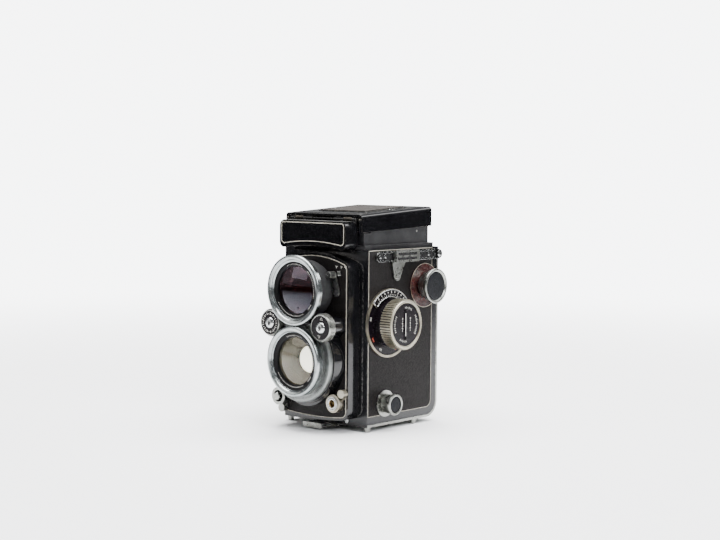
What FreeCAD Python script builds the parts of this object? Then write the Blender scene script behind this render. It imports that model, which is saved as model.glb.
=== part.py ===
# Twin lens reflex camera: a folding viewing hood above a mirror chamber, a focusing lens board
# in front, a film chamber with an L-shaped hinged back, and a winding crank.
# Millimetres. +X is to the right of someone facing the lenses, +Y runs to the back, +Z up.
# The origin is the centre of the tripod socket's mouth.
import FreeCAD
import Part
import math
import os

os.makedirs("parts", exist_ok=True)
V = FreeCAD.Vector

# ---- Driving dimensions -------------------------------------------------------------------

# Body
body_width = 75.0
body_depth = 73.7
side_wall = 2.3
front_wall = 2.4
deck_wall = 2.6
socket_setback = 36.0
socket_standoff = 2.4
inner_wall = 0.8
inner_wall_gap = 2.5
inner_wall_foot = 28.0
step_half_width = 33.5
step_proud = 0.7
step_foot = 5.0

# Clearances
running_gap = 0.05
moving_gap = 0.3
free_gap = 0.35

# Back door
door_wall = 1.6
door_corner = 11.0
door_front_gap = 0.2
hinge_inset = 0.8
hinge_drop = 4.9
hinge_pin_r = 0.8
knuckle_r = 1.8
foot_height = 3.4
foot_r = 2.3
foot_taper = 0.4
foot_side_inset = 2.7
front_foot_y = 3.5
rear_foot_y = 51.0

# Leather panels
leather = 0.4
leather_front = 0.5
leather_rear = 6.6
leather_foot = 6.7
leather_head = 0.3
leather_corner = 5.0
back_leather_side = 6.0
back_leather_foot = 15.0
back_leather_head = 14.0

# Lens board
board_half_width = 31.2
board_standout = 11.7
board_front_wall = 2.0
board_side_wall = 1.6
board_head_gap = 2.6
board_foot = 3.6
board_arch_r = 80.0
board_bow_r = 220.0
board_corner_r = 6.0
board_rear_gap = 1.0
sleeve_wall = 1.2
sleeve_reach = 8.7
guide_pin_r = 2.0
guide_pin_x = 25.0
guide_pin_below = 11.0
guide_pin_reach = 12.0
passage_r = 21.0

# Lenses
view_axis_drop = 26.55
lens_spacing = 46.95
take_axis_rise = 43.7
rim_r = 23.3
rim_front = 32.4
rim_length = 5.0
rim_bore_length = 2.5
filter_seat_r = 19.8
rim_edge = 0.9
rim_lip = 1.7
rim_step = 1.0
barrel_r = 19.2
barrel_tail_r = 17.4
barrel_tail = 6.0
barrel_neck = 3.6
barrel_wall = 1.4
glass_r = 16.0
glass_edge = 2.0
glass_bulge = 2.4
glass_flat = 1.2
glass_seat_depth = 3.4
rear_glass_r = 11.0
housing_r = 28.5
housing_front = 22.2
housing_lobe_r = 23.5
housing_lobe_drop = 7.2
scale_ring_r = 27.6
scale_ring_rise = 3.4

# Dial wheels beside the waist of the lenses
wheel_x = 22.9
wheel_lift = 0.35
wheel_r = 9.3
wheel_face_r = 8.6
wheel_front = 30.0
wheel_width = 5.5
wheel_dome_r = 4.8
wheel_dome_proud = 1.2
wheel_stem_r = 6.0
wheel_post_r = 2.0

# Shutter release, flash socket and sync lever on the board
release_x = -24.0
release_drop = 26.5
release_r = 2.6
release_front = 22.5
release_tail = 7.5
release_bush_r = 4.0
release_bush_front = 18.0
collar_r = 6.0
collar_front = 20.5
lever_plate = 1.7
release_knob_x = -1.5
release_knob_drop = 8.6
lever_knob_r = 2.8
flash_x = 22.0
flash_drop = 27.2
flash_hole_r = 2.8
flash_tube_r = 4.4
flash_front = 17.5
flash_bore = 4.8
flash_knob_x = 6.3
flash_knob_rise = 6.9
sync_x = 19.2
sync_rise = 10.35
sync_post_r = 2.3
sync_front = 18.7
sync_pin_r = 1.0
sync_arm_x = 2.8
sync_arm_drop = 11.7
sync_tip_r = 2.6
sync_arm_half = 2.1
sync_button_x = 23.2
sync_button_rise = 11.35
sync_button_width = 2.8
sync_button_height = 3.4
sync_button_proud = 0.9

# Nameplate housing above the board
plate_half_width = 29.8
plate_front = 13.6
plate_rear = 2.1
plate_height = 18.55
plate_corner = 4.0
plate_arch = 2.0
plate_arch_r = 180.0
plate_foot = 2.1

# Hood
hood_half_width = 34.2
lid_front = 2.8
lid_rear = 71.4
lid_front_rise = 23.1
lid_slope_rise = 4.35
lid_skirt_front_rise = 11.3
lid_skirt_rear_rise = 14.2
lid_top = 1.4
lid_side = 1.2
lid_round = 2.2
lid_hinge_front = 2.0
lid_hinge_rise = 20.0
lid_pin_r = 0.7
lid_knuckle_r = 1.3
lid_knuckle_in = 10.0
lid_knuckle_out = 15.2
lid_ear_width = 2.8
lid_spring_r = 1.2
finder_panel_size = 40.0
finder_panel_y = 37.0
finder_panel = 0.5
base_half_width = 32.5
base_front = 1.4
base_rear = 68.3
base_wall = 1.3
base_rise = 10.8
base_lap = 1.3
base_step_y = 8.0
flange_half_width = 34.5
flange_front = 0.2
flange_rear = 71.4
flange_rise = 2.8
flange_opening_half = 27.5
flap = 0.8
flap_pin_r = 0.5
flap_knuckle_r = 1.0
flap_hinge_x = 28.9
flap_hinge_rise = 5.4
flap_reach = 28.2
flap_front_y = 4.5
flap_front_slant = 2.5
flap_rear_slant = 21.5
rear_flap_rise = 8.2
rear_flap_inset = 2.6
rear_flap_reach = 33.0
rear_flap_half = 27.6
magnifier_hinge_y = 56.0
magnifier_hinge_drop = 3.1
magnifier_half_width = 14.0
magnifier_length = 29.0
magnifier = 2.0
magnifier_lens_r = 11.0

# Viewing screen, mirror, light cone, film gate and film path
screen_y = 35.5
screen_half = 28.5
screen = 1.5
screen_ledge = 1.5
mirror_front_y = 9.5
mirror_rear_y = 57.5
mirror_half = 28.0
mirror = 1.5
carrier = 1.2
cone_front_half = 11.5
cone_wall = 1.0
gate_half = 28.0
gate_y = 59.0
gate = 4.4
gate_head = 0.9
gate_foot = 1.25
film_gap = 0.5
roller_r = 2.0
roller_end_gap = 0.7
journal_r = 1.0
journal_depth = 1.0
plate_thickness = 1.2
plate_travel = 0.8
plate_side_half = 31.0
plate_head = 5.5
plate_post_r = 2.0
plate_post_z = 20.0
plate_boss_r = 3.5
plate_boss = 4.4

# Knobs on the right side
focus_y = 20.6
focus_z = 68.2
focus_knob_r = 16.75
focus_knob_out = 16.1
focus_flange_r = 22.95
focus_flange_out = 1.5
focus_ring = 1.5
focus_arc_r = 17.3
focus_arc = 0.7
focus_arc_half_angle = 52.0
distance_disc = 0.7
distance_disc_lift = 0.5
focus_shaft_r = 3.0
focus_rim = 2.4
focus_recess = 1.6
reminder_disc = 0.8
reminder_post_r = 2.0
focus_cam_r = 9.0
focus_cam_offset = 1.5
takeup_y = 15.7
takeup_z = 25.9
takeup_knob_r = 11.9
takeup_knob_out = 11.4
takeup_neck_r = 8.5
takeup_bush_r = 5.0
film_dial_r = 15.1
film_dial = 1.0
feed_y = 18.1
feed_z = 14.6
feed_knob_r = 7.2
feed_knob_out = 9.8
feed_flange_r = 8.85
feed_flange_out = 0.8
feed_bush_r = 4.0
spindle_r = 3.0
spindle_tip = 2.0

# Film spool, winding gears and crank on the left side
spool_half = 31.4
spool_flange_r = 12.4
spool_flange = 0.8
spool_core_r = 5.5
spool_socket = 3.0
key_width = 1.8
gear_module = 1.0
crank_teeth = 44
spool_teeth = 24
gear_width = 1.5
crank_below_spool = 25.3
crank_shaft_r = 4.0
crank_base_r = 17.0
crank_base_out = 2.0
crank_hub_r = 11.0
crank_hub_out = 6.0
crank_arm_length = 25.0
crank_arm_half = 4.5
crank_arm = 2.5
crank_fork_slot = 3.2
handle_r = 2.9
handle_length = 12.0
handle_pin_r = 0.9

# Strap rails on both sides
rail_front = 6.7
rail_half = 3.3
rail_out = 1.8
rail_rear_r = 3.0
rail_inset = 0.6
rail_rim = 1.1
loop_front = 23.7
loop_rear = 47.8
loop_half = 3.9
loop_out = 4.4
loop_wall = 1.0
loop_slot_half = 0.75
loop_slot_offset = 1.7
tongue_front = 22.9
tongue_width = 14.2
tongue_length = 13.0
tongue_tip_r = 3.4
tongue = 0.9
tongue_lift = 0.5
button_r = 2.1
button_out = 1.1

# Latch and its lock under the body
latch_half = 8.2
latch_arm = 1.3
latch_front = 12.6
latch_pivot_y = 3.0
latch_pivot_drop = 1.3
latch_plate = 1.0
latch_hook = 1.2
latch_hook_rise = 1.0
latch_pin_r = 0.7
catch_half = 5.0
catch = 1.0
catch_reach = 10.9
socket_hole_r = 2.55
socket_depth = 6.0
socket_boss_r = 5.5
socket_flange_r = 8.0
lock_ring_r = 9.0
lock_ring = 1.5
lock_tab_r = 12.0

# Screws
screw_r = 1.6
screw_head = 0.5
front_screw_x = 20.0
front_screw_z = 2.9
rail_screw_r = 1.3

# ---- Places worked out from the sizes -----------------------------------------------------

half_width = body_width / 2
front_y = -socket_setback
rear_y = front_y + body_depth
bottom_z = socket_standoff
top_z = bottom_z + take_axis_rise + lens_spacing + view_axis_drop
casting_rear_y = rear_y - door_wall - moving_gap
casting_low_z = bottom_z + door_wall + moving_gap
inside_x = half_width - side_wall
inner_wall_x = inside_x - inner_wall_gap
deck_low_z = top_z - deck_wall
hinge_y = rear_y - hinge_inset
hinge_z = top_z - hinge_drop

view_z = top_z - view_axis_drop
take_z = view_z - lens_spacing
board_y = front_y - board_standout
board_top_z = top_z - board_head_gap
board_low_z = bottom_z + board_foot
wheel_z = (view_z + take_z) / 2 + wheel_lift
release_z = take_z - release_drop
flash_z = take_z - flash_drop
sync_z = view_z + sync_rise

lid_hinge_y = front_y - lid_hinge_front
lid_hinge_z = top_z + lid_hinge_rise
plate_top_z = top_z + plate_height
flap_hinge_z = top_z + flap_hinge_rise
rear_flap_y = front_y + base_rear - rear_flap_inset
rear_flap_z = top_z + rear_flap_rise

gate_front_y = front_y + gate_y
gate_rear_y = gate_front_y + gate
film_y = gate_rear_y + film_gap
roller_y = film_y - roller_r
upper_roller_z = take_z + gate_half + gate_head + moving_gap + roller_r
lower_roller_z = take_z - gate_half - gate_foot - moving_gap - roller_r
takeup_axis_y = rear_y - takeup_y
takeup_axis_z = top_z - takeup_z
feed_axis_y = front_y + feed_y
feed_axis_z = bottom_z + feed_z
focus_axis_y = front_y + focus_y
focus_axis_z = bottom_z + focus_z
spindle_end_x = spool_half - spindle_tip
gear_distance = gear_module * (crank_teeth + spool_teeth) / 2
crank_axis_z = takeup_axis_z - crank_below_spool
crank_axis_y = takeup_axis_y - math.sqrt(gear_distance ** 2 - crank_below_spool ** 2)
gear_x = -inside_x + (inner_wall_gap - gear_width) / 2


# ---- Shape helpers ------------------------------------------------------------------------

def box(x_low, x_high, y_low, y_high, z_low, z_high):
    return Part.makeBox(x_high - x_low, y_high - y_low, z_high - z_low, V(x_low, y_low, z_low))


def rod_x(x_low, x_high, y, z, radius):
    return Part.makeCylinder(radius, x_high - x_low, V(x_low, y, z), V(1, 0, 0))


def rod_y(y_low, y_high, x, z, radius):
    return Part.makeCylinder(radius, y_high - y_low, V(x, y_low, z), V(0, 1, 0))


def rod_z(z_low, z_high, x, y, radius):
    return Part.makeCylinder(radius, z_high - z_low, V(x, y, z_low), V(0, 0, 1))


def ring_x(x_low, x_high, y, z, outer, inner):
    return rod_x(x_low, x_high, y, z, outer).cut(rod_x(x_low - 1, x_high + 1, y, z, inner))


def turned_y(points, x, z):
    # A solid of revolution about a line along Y; points are (radius, y).
    corners = [V(x + radius, y, z) for radius, y in points]
    face = Part.Face(Part.makePolygon(corners + corners[:1]))
    return face.revolve(V(x, 0, z), V(0, 1, 0), 360)


def turned_x(points, y, z):
    # A solid of revolution about a line along X; points are (radius, x).
    corners = [V(x, y, z + radius) for radius, x in points]
    face = Part.Face(Part.makePolygon(corners + corners[:1]))
    return face.revolve(V(0, y, z), V(1, 0, 0), 360)


def side_plate(points, x_low, x_high):
    # A plate across X from an outline of (y, z) points.
    corners = [V(x_low, y, z) for y, z in points]
    face = Part.Face(Part.makePolygon(corners + corners[:1]))
    return face.extrude(V(x_high - x_low, 0, 0))


def front_plate(points, y_low, y_high):
    # A plate across Y from an outline of (x, z) points.
    corners = [V(x, y_low, z) for x, z in points]
    face = Part.Face(Part.makePolygon(corners + corners[:1]))
    return face.extrude(V(0, y_high - y_low, 0))


def joined(shapes):
    return shapes[0].multiFuse(shapes[1:]).removeSplitter()


def mirrored(shape):
    return shape.mirror(V(0, 0, 0), V(1, 0, 0))


def edges_along(shape, axis, test):
    # Straight edges along an axis whose middle point passes a test.
    found = []
    for edge in shape.Edges:
        span = edge.Vertexes[-1].Point.sub(edge.Vertexes[0].Point)
        if edge.Length < 0.01 or abs(abs(span.dot(axis)) - edge.Length) > 0.001:
            continue
        if test(edge.BoundBox.Center):
            found.append(edge)
    return found


def board_outline(inset, y_low, y_high, half, low_z, high_z):
    # The board's outline: arched top, bowed foot, rounded corners, drawn in by an inset.
    half = half - inset
    low_z = low_z + inset
    high_z = high_z - inset
    arch_r = board_arch_r - inset
    bow_r = board_bow_r - inset
    plate = box(-half, half, y_low, y_high, low_z, high_z)
    plate = plate.common(rod_y(y_low, y_high, 0, high_z - arch_r, arch_r))
    plate = plate.common(rod_y(y_low, y_high, 0, low_z + bow_r, bow_r))
    corners = edges_along(plate, V(0, 1, 0), lambda middle: abs(abs(middle.x) - half) < 0.01)
    return plate.makeFillet(board_corner_r - inset, corners)


def lens(x, z, front_y_edge, radius, edge, front_bulge, rear_bulge):
    # A glass disc with a domed front, and a flat seat round a domed back, its axis along Y.
    back_y = front_y_edge + edge
    dome_r = radius - glass_flat
    front_arc = Part.Arc(V(x - radius, front_y_edge, z), V(x, front_y_edge - front_bulge, z),
                         V(x + radius, front_y_edge, z))
    rear_arc = Part.Arc(V(x + dome_r, back_y, z), V(x, back_y + rear_bulge, z), V(x - dome_r, back_y, z))
    side = Part.makePolygon([V(x + radius, front_y_edge, z), V(x + radius, back_y, z),
                             V(x + dome_r, back_y, z)])
    other = Part.makePolygon([V(x - dome_r, back_y, z), V(x - radius, back_y, z),
                              V(x - radius, front_y_edge, z)])
    outline = Part.Face(Part.Wire([front_arc.toShape()] + side.Edges + [rear_arc.toShape()] + other.Edges))
    reach = front_bulge + edge + rear_bulge + radius
    half = outline.common(box(x, x + radius + 1, front_y_edge - reach, back_y + reach, z - 1, z + 1))
    return half.revolve(V(x, 0, z), V(0, 1, 0), 360)


def gear(teeth, x_low, x_high, y, z, first_tooth):
    # A spur gear about X; first_tooth is the angle of one tooth's middle from +Y towards +Z.
    pitch_r = gear_module * teeth / 2
    pitch = 2 * math.pi / teeth
    stations = ((-0.30, -1.25), (-0.12, 0.95), (0.12, 0.95), (0.30, -1.25))
    corners = []
    for tooth in range(teeth):
        for share, rise in stations:
            angle = first_tooth + (tooth + share) * pitch
            radius = pitch_r + rise * gear_module
            corners.append((y + radius * math.cos(angle), z + radius * math.sin(angle)))
    return side_plate(corners, x_low, x_high)


def save(node, shape):
    shape.exportStep("parts/" + node + ".step")


# ---- Body ---------------------------------------------------------------------------------

def side_outline(x_low, x_high):
    # The leather panel's outline on a side: square but for the round lower rear corner.
    panel = box(x_low, x_high, front_y + leather_front, rear_y - leather_rear,
                bottom_z + leather_foot, top_z - leather_head)
    corner = edges_along(panel, V(1, 0, 0), lambda middle: middle.z < take_z and middle.y > 0)
    return panel.makeFillet(leather_corner, corner)


def right_side_bores(x_low, x_high):
    return [rod_x(x_low, x_high, focus_axis_y, focus_axis_z, focus_shaft_r + running_gap),
            rod_x(x_low, x_high, takeup_axis_y, takeup_axis_z, takeup_bush_r),
            rod_x(x_low, x_high, feed_axis_y, feed_axis_z, feed_bush_r)]


def left_side_bores(x_low, x_high):
    return [rod_x(x_low, x_high, crank_axis_y, crank_axis_z, crank_shaft_r + running_gap)]


def guide_places():
    # The four guide pins stand a little below the level of each lens.
    return [(side * guide_pin_x, z) for side in (-1, 1)
            for z in (take_z - guide_pin_below, view_z - guide_pin_below)]


def casting_shell():
    shell = box(-half_width, half_width, front_y, casting_rear_y, casting_low_z, top_z)
    rear_low = edges_along(shell, V(1, 0, 0), lambda middle: middle.z < take_z and middle.y > 0)
    shell = shell.makeFillet(door_corner - door_wall - moving_gap, rear_low)
    lip = box(-half_width, half_width, casting_rear_y - 1, rear_y, hinge_z + knuckle_r + moving_gap, top_z)
    foot = box(-half_width, half_width, front_y, front_y + door_front_gap, bottom_z, casting_low_z)
    step = board_outline(0, front_y - step_proud, front_y, step_half_width,
                         bottom_z + step_foot, board_top_z + moving_gap)
    return joined([shell, lip, foot, step])


def mirror_line(start_y, end_y, depth, thickness):
    # A sloping 45-degree plate's outline: depth is behind the reflecting face.
    points = []
    far = depth + thickness
    for y, back in ((start_y, depth), (end_y, depth), (end_y, far), (start_y, far)):
        drop = back / math.sqrt(2)
        points.append((front_y + y + drop, view_z + (y - screen_y) - drop))
    return points


def inner_structure():
    # The walls beside the film chamber, the mirror's sloping shelf and the lower spool's pin.
    walls = []
    for side in (-1, 1):
        low_x = min(side * inner_wall_x, side * (inner_wall_x - inner_wall))
        walls.append(box(low_x, low_x + inner_wall, front_y + front_wall, gate_front_y,
                         bottom_z + inner_wall_foot, deck_low_z))
    reach = inner_wall_x - inner_wall / 2
    shelf = side_plate(mirror_line(mirror_front_y, mirror_rear_y, mirror, carrier), -reach, reach)
    pin = rod_x(-inside_x - side_wall / 2, -spindle_end_x, feed_axis_y, feed_axis_z, spindle_r)
    return walls + [shelf, pin]


def body_casting():
    shell = casting_shell()
    cavity = box(-inside_x, inside_x, front_y + front_wall, rear_y + 1, bottom_z - 1, deck_low_z)
    screen_mid = front_y + screen_y
    light_half = screen_half - screen_ledge
    cuts = [cavity,
            box(-light_half, light_half, screen_mid - light_half, screen_mid + light_half,
                deck_low_z - 1, top_z + 1),
            box(-screen_half - running_gap, screen_half + running_gap, screen_mid - screen_half - running_gap,
                screen_mid + screen_half + running_gap, top_z - screen - 0.1, top_z + 1),
            rod_x(-half_width - 1, half_width + 1, hinge_y, hinge_z, knuckle_r + moving_gap)]
    for axis_z in (view_z, take_z):
        cuts.append(rod_y(front_y - 2, front_y + front_wall + 1, 0, axis_z, passage_r))
    for x, z in guide_places():
        cuts.append(rod_y(front_y - 2, front_y + front_wall + 1, x, z, guide_pin_r + running_gap))
    cuts.append(side_outline(half_width - leather, half_width + 1))
    cuts.append(side_outline(-half_width - 1, -half_width + leather))
    shell = shell.cut(cuts)
    catch_plate = box(-catch_half, catch_half, front_y - catch_reach, front_y + door_front_gap,
                      bottom_z + moving_gap, bottom_z + moving_gap + catch)
    whole = joined([shell, catch_plate] + inner_structure())
    bores = right_side_bores(spindle_end_x, half_width + 1)
    bores += left_side_bores(-half_width - 1, -inside_x + 0.5)
    bores.append(rod_x(-inside_x, -spool_half, takeup_axis_y, takeup_axis_z, spindle_r + running_gap))
    for z in (upper_roller_z, lower_roller_z):
        journal_x = inside_x + journal_depth
        bores.append(rod_x(-journal_x - running_gap, journal_x + running_gap, roller_y, z,
                           journal_r + running_gap))
    return whole.cut(bores)


def side_leathers():
    right = side_outline(half_width - leather, half_width).cut(right_side_bores(inside_x, half_width + 1))
    left = side_outline(-half_width, -half_width + leather).cut(left_side_bores(-half_width - 1, -inside_x))
    return Part.makeCompound([right, left])


def light_trap_sleeve():
    inset = board_side_wall + free_gap
    low_y = front_y - step_proud - sleeve_reach
    high_y = front_y - step_proud
    outer = board_outline(inset, low_y, high_y, board_half_width, board_low_z, board_top_z)
    inner = board_outline(inset + sleeve_wall, low_y - 1, high_y + 1, board_half_width,
                          board_low_z, board_top_z)
    return outer.cut(inner)


def nameplate_housing():
    low_y = front_y - plate_front
    high_y = front_y - plate_rear
    block = box(-plate_half_width, plate_half_width, low_y, high_y, top_z, plate_top_z)
    corners = edges_along(block, V(0, 1, 0), lambda middle: True)
    block = block.makeFillet(plate_corner, corners)
    block = block.cut(rod_y(low_y - 1, high_y + 1, 0, top_z + plate_arch - plate_arch_r, plate_arch_r))
    neck_half = plate_half_width - plate_corner
    neck = box(-neck_half, neck_half, high_y - 1, front_y, top_z - plate_foot, top_z + plate_corner)
    pieces = [block, neck]
    pin_y = lid_hinge_y
    for side in (-1, 1):
        for inner_x in (lid_knuckle_out + moving_gap, plate_half_width - lid_ear_width - 0.1):
            low_x = min(side * inner_x, side * (inner_x + lid_ear_width))
            pieces.append(box(low_x, low_x + lid_ear_width, pin_y - lid_knuckle_r, high_y,
                              plate_top_z - 1, lid_hinge_z))
            pieces.append(rod_x(low_x, low_x + lid_ear_width, pin_y, lid_hinge_z, lid_knuckle_r))
    block = joined(pieces)
    return block.cut(rod_x(-plate_half_width - 1, plate_half_width + 1, pin_y, lid_hinge_z, lid_pin_r))


# ---- Hood ---------------------------------------------------------------------------------

def lid_height(y):
    # The lid's top surface above the body's top, for a distance behind the body's front.
    return lid_front_rise + lid_slope_rise * (y + lid_front) / (lid_rear + lid_front)


def skirt_height(y):
    rise = lid_skirt_rear_rise - lid_skirt_front_rise
    return lid_skirt_front_rise + rise * (y + lid_front) / (lid_rear + lid_front)


def lid_block(side_inset, front_inset, rear_inset, top_inset, foot):
    low_y = -lid_front + front_inset
    high_y = lid_rear - rear_inset
    outline = [(front_y + low_y, top_z + skirt_height(low_y) - foot),
               (front_y + low_y, top_z + lid_height(low_y) - top_inset),
               (front_y + high_y, top_z + lid_height(high_y) - top_inset),
               (front_y + high_y, top_z + skirt_height(high_y) - foot)]
    half = hood_half_width - side_inset
    return side_plate(outline, -half, half)


def hood_lid():
    block = lid_block(0, 0, 0, 0, 0)
    upper = top_z + lid_front_rise - lid_top
    edges = [edge for edge in block.Edges if edge.BoundBox.ZMin > upper and edge.BoundBox.YLength > 1]
    edges += [edge for edge in block.Edges if edge.BoundBox.ZMin > upper + 2 and edge.BoundBox.YLength < 1
              and edge.BoundBox.XLength > 1]
    edges += [edge for edge in block.Edges if edge.BoundBox.YMin > 0 and edge.BoundBox.ZLength > 5
              and edge.BoundBox.YLength < 1]
    block = block.makeFillet(lid_round, edges)
    inner = lid_block(lid_side, lid_side, lid_side, lid_top, 5)
    mouth_half = hood_half_width - lid_side - lid_top
    mouth = lid_block(hood_half_width - mouth_half, -2, lid_rear, lid_top, 20)
    knuckles = []
    for side in (-1, 1):
        low_x = min(side * lid_knuckle_in, side * lid_knuckle_out)
        high_x = low_x + lid_knuckle_out - lid_knuckle_in
        knuckles.append(rod_x(low_x, high_x, lid_hinge_y, lid_hinge_z, lid_knuckle_r))
        knuckles.append(box(low_x, high_x, lid_hinge_y - 0.5, lid_hinge_y + lid_knuckle_r,
                            lid_hinge_z, lid_hinge_z + lid_knuckle_r + 0.6))
    lugs = []
    lug_y = front_y + magnifier_hinge_y
    lug_top = top_z + lid_height(magnifier_hinge_y) - lid_top / 2
    for side in (-1, 1):
        low_x = min(side * (magnifier_half_width + moving_gap), side * (magnifier_half_width + 2))
        lugs.append(box(low_x, low_x + 2 - moving_gap, lug_y - 1.5, lug_y + 1.5,
                        magnifier_z() - 1.2, lug_top))
    shell = joined([block.cut([inner, mouth])] + knuckles + lugs)
    pin_hole = rod_x(-hood_half_width, hood_half_width, lid_hinge_y, lid_hinge_z, lid_pin_r + running_gap)
    return shell.cut(pin_hole)


def magnifier_z():
    return top_z + lid_height(magnifier_hinge_y) - lid_top - magnifier_hinge_drop


def magnifier_arm():
    # The lens frame, folded flat under the lid, with its pin between the lid's lugs.
    hinge = front_y + magnifier_hinge_y
    mid_z = magnifier_z()
    low_y = hinge - magnifier_length
    frame = box(-magnifier_half_width, magnifier_half_width, low_y, hinge - 1.4,
                mid_z - magnifier / 2, mid_z + magnifier / 2)
    ear_half = magnifier_half_width / 2
    barrel = rod_x(-magnifier_half_width, magnifier_half_width, hinge, mid_z, magnifier / 2)
    neck = box(-ear_half, ear_half, hinge - 1.6, hinge, mid_z - magnifier / 2, mid_z + magnifier / 2)
    lens_y = low_y + magnifier_half_width - 1
    hole = rod_z(mid_z - 2, mid_z + 2, 0, lens_y, magnifier_lens_r)
    glass = rod_z(mid_z - magnifier / 2, mid_z + magnifier / 2, 0, lens_y, magnifier_lens_r)
    return Part.makeCompound([joined([frame, barrel, neck]).cut(hole), glass])


def finder_panel_plate():
    # The square panel let into the middle of the lid's top.
    half = finder_panel_size / 2
    low_y = finder_panel_y - half
    high_y = finder_panel_y + half
    outline = [(front_y + low_y, top_z + lid_height(low_y)), (front_y + high_y, top_z + lid_height(high_y)),
               (front_y + high_y, top_z + lid_height(high_y) + finder_panel),
               (front_y + low_y, top_z + lid_height(low_y) + finder_panel)]
    return side_plate(outline, -half, half)


def base_walls(inset):
    # The hood base's wall outline from the side, stepped low at the front for the lid's corner.
    low_y = front_y + base_front + inset
    high_y = front_y + base_rear - inset
    step_y = front_y + base_step_y
    step_top = top_z + skirt_height(base_step_y) + base_lap
    rear_top = top_z + skirt_height(base_rear) + base_lap
    top = 20 if inset else 0
    outline = [(low_y, top_z + flange_rise - inset), (low_y, top_z + base_rise + top),
               (step_y, top_z + base_rise + top), (step_y, step_top + top),
               (high_y, rear_top + top), (high_y, top_z + flange_rise - inset)]
    half = base_half_width - inset
    return side_plate(outline, -half, half)


def hood_base():
    flange = box(-flange_half_width, flange_half_width, front_y + flange_front, front_y + flange_rear,
                 top_z, top_z + flange_rise)
    mid = front_y + screen_y
    opening = box(-flange_opening_half, flange_opening_half, mid - flange_opening_half,
                  mid + flange_opening_half, top_z - 1, top_z + flange_rise + 1)
    walls = base_walls(0).cut(base_walls(base_wall))
    base = joined([flange, walls])
    blocks = []
    for side in (-1, 1):
        for y in (front_y + base_front + base_wall, front_y + base_rear - base_wall - 1.2):
            inner = flap_hinge_x - flap_knuckle_r
            low_x = min(side * inner, side * (base_half_width - base_wall / 2))
            high_x = max(side * inner, side * (base_half_width - base_wall / 2))
            blocks.append(box(low_x, high_x, y, y + 1.2, top_z + flange_rise, flap_hinge_z + 1))
    for side in (-1, 1):
        inner = rear_flap_half + moving_gap
        low_x = min(side * inner, side * (base_half_width - base_wall / 2))
        high_x = max(side * inner, side * (base_half_width - base_wall / 2))
        blocks.append(box(low_x, high_x, rear_flap_y - 1, rear_flap_y + rear_flap_inset - base_wall / 2,
                          flap_hinge_z + 1, rear_flap_z + 1))
    base = joined([base] + blocks)
    return base.cut([opening] + pin_shapes(0))


def pin_shapes(extra):
    # The pins of the two side flaps and the rear flap, or their bores when extra is given.
    low_y = front_y + base_front + base_wall
    high_y = front_y + base_rear - base_wall
    pins = []
    for side in (-1, 1):
        pins.append(rod_y(low_y, high_y, side * flap_hinge_x, flap_hinge_z, flap_pin_r + extra))
    reach = base_half_width - base_wall
    pins.append(rod_x(-reach, reach, rear_flap_y, rear_flap_z, flap_pin_r + extra))
    return pins


def hood_hinge_hardware():
    # Hinge pins of the flaps and of the lid, and the lid's two coil springs as sleeves.
    pins = pin_shapes(0)
    reach = plate_half_width - 0.1
    pins.append(rod_x(-reach, reach, lid_hinge_y, lid_hinge_z, lid_pin_r))
    low_x = lid_knuckle_out + moving_gap + lid_ear_width + running_gap
    high_x = plate_half_width - lid_ear_width - 0.1 - running_gap
    spring = ring_x(low_x, high_x, lid_hinge_y, lid_hinge_z, lid_spring_r, lid_pin_r + running_gap)
    return Part.makeCompound(pins + [spring, mirrored(spring)])


def side_flap(side):
    # A folding wall that lies across half of the hood; its rear edge slants to clear the rear wall.
    low_y = front_y + flap_front_y
    high_y = rear_flap_y - 1.5
    z = flap_hinge_z
    corners = [V(flap_hinge_x, low_y, z - flap / 2),
               V(flap_hinge_x, high_y, z - flap / 2),
               V(flap_hinge_x - flap_reach, high_y - flap_rear_slant, z - flap / 2),
               V(flap_hinge_x - flap_reach, low_y + flap_front_slant, z - flap / 2)]
    sheet = Part.Face(Part.makePolygon(corners + corners[:1])).extrude(V(0, 0, flap))
    knuckle = rod_y(low_y, high_y, flap_hinge_x, z, flap_knuckle_r)
    wall = joined([sheet, knuckle])
    wall = wall.cut(rod_y(low_y - 1, high_y + 1, flap_hinge_x, z, flap_pin_r + running_gap))
    return wall if side > 0 else mirrored(wall)


def rear_flap():
    z = rear_flap_z
    sheet = box(-rear_flap_half, rear_flap_half, rear_flap_y - rear_flap_reach, rear_flap_y,
                z - flap / 2, z + flap / 2)
    knuckle = rod_x(-rear_flap_half, rear_flap_half, rear_flap_y, z, flap_knuckle_r)
    wall = joined([sheet, knuckle])
    return wall.cut(rod_x(-rear_flap_half - 1, rear_flap_half + 1, rear_flap_y, z, flap_pin_r + running_gap))


# ---- Viewing and film chambers ------------------------------------------------------------

def focusing_screen():
    mid = front_y + screen_y
    return box(-screen_half, screen_half, mid - screen_half, mid + screen_half,
               top_z - screen - 0.1, top_z - 0.1)


def reflex_mirror():
    return side_plate(mirror_line(mirror_front_y, mirror_rear_y, 0, mirror), -mirror_half, mirror_half)


def light_cone():
    # A four-sided funnel from the taking lens to the film gate.
    def square(half, y):
        corners = [V(-half, y, take_z - half), V(half, y, take_z - half),
                   V(half, y, take_z + half), V(-half, y, take_z + half)]
        return Part.makePolygon(corners + corners[:1])
    low_y = front_y + front_wall
    outer = Part.makeLoft([square(cone_front_half + cone_wall, low_y),
                           square(gate_half + cone_wall, gate_front_y)], True, True)
    inner = Part.makeLoft([square(cone_front_half, low_y), square(gate_half, gate_front_y)], True, True)
    return outer.cut(inner)


def film_gate():
    frame = box(-inside_x, inside_x, gate_front_y, gate_rear_y,
                take_z - gate_half - gate_foot, take_z + gate_half + gate_head)
    opening = box(-gate_half, gate_half, gate_front_y - 1, gate_rear_y + 1,
                  take_z - gate_half, take_z + gate_half)
    return frame.cut(opening)


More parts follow.
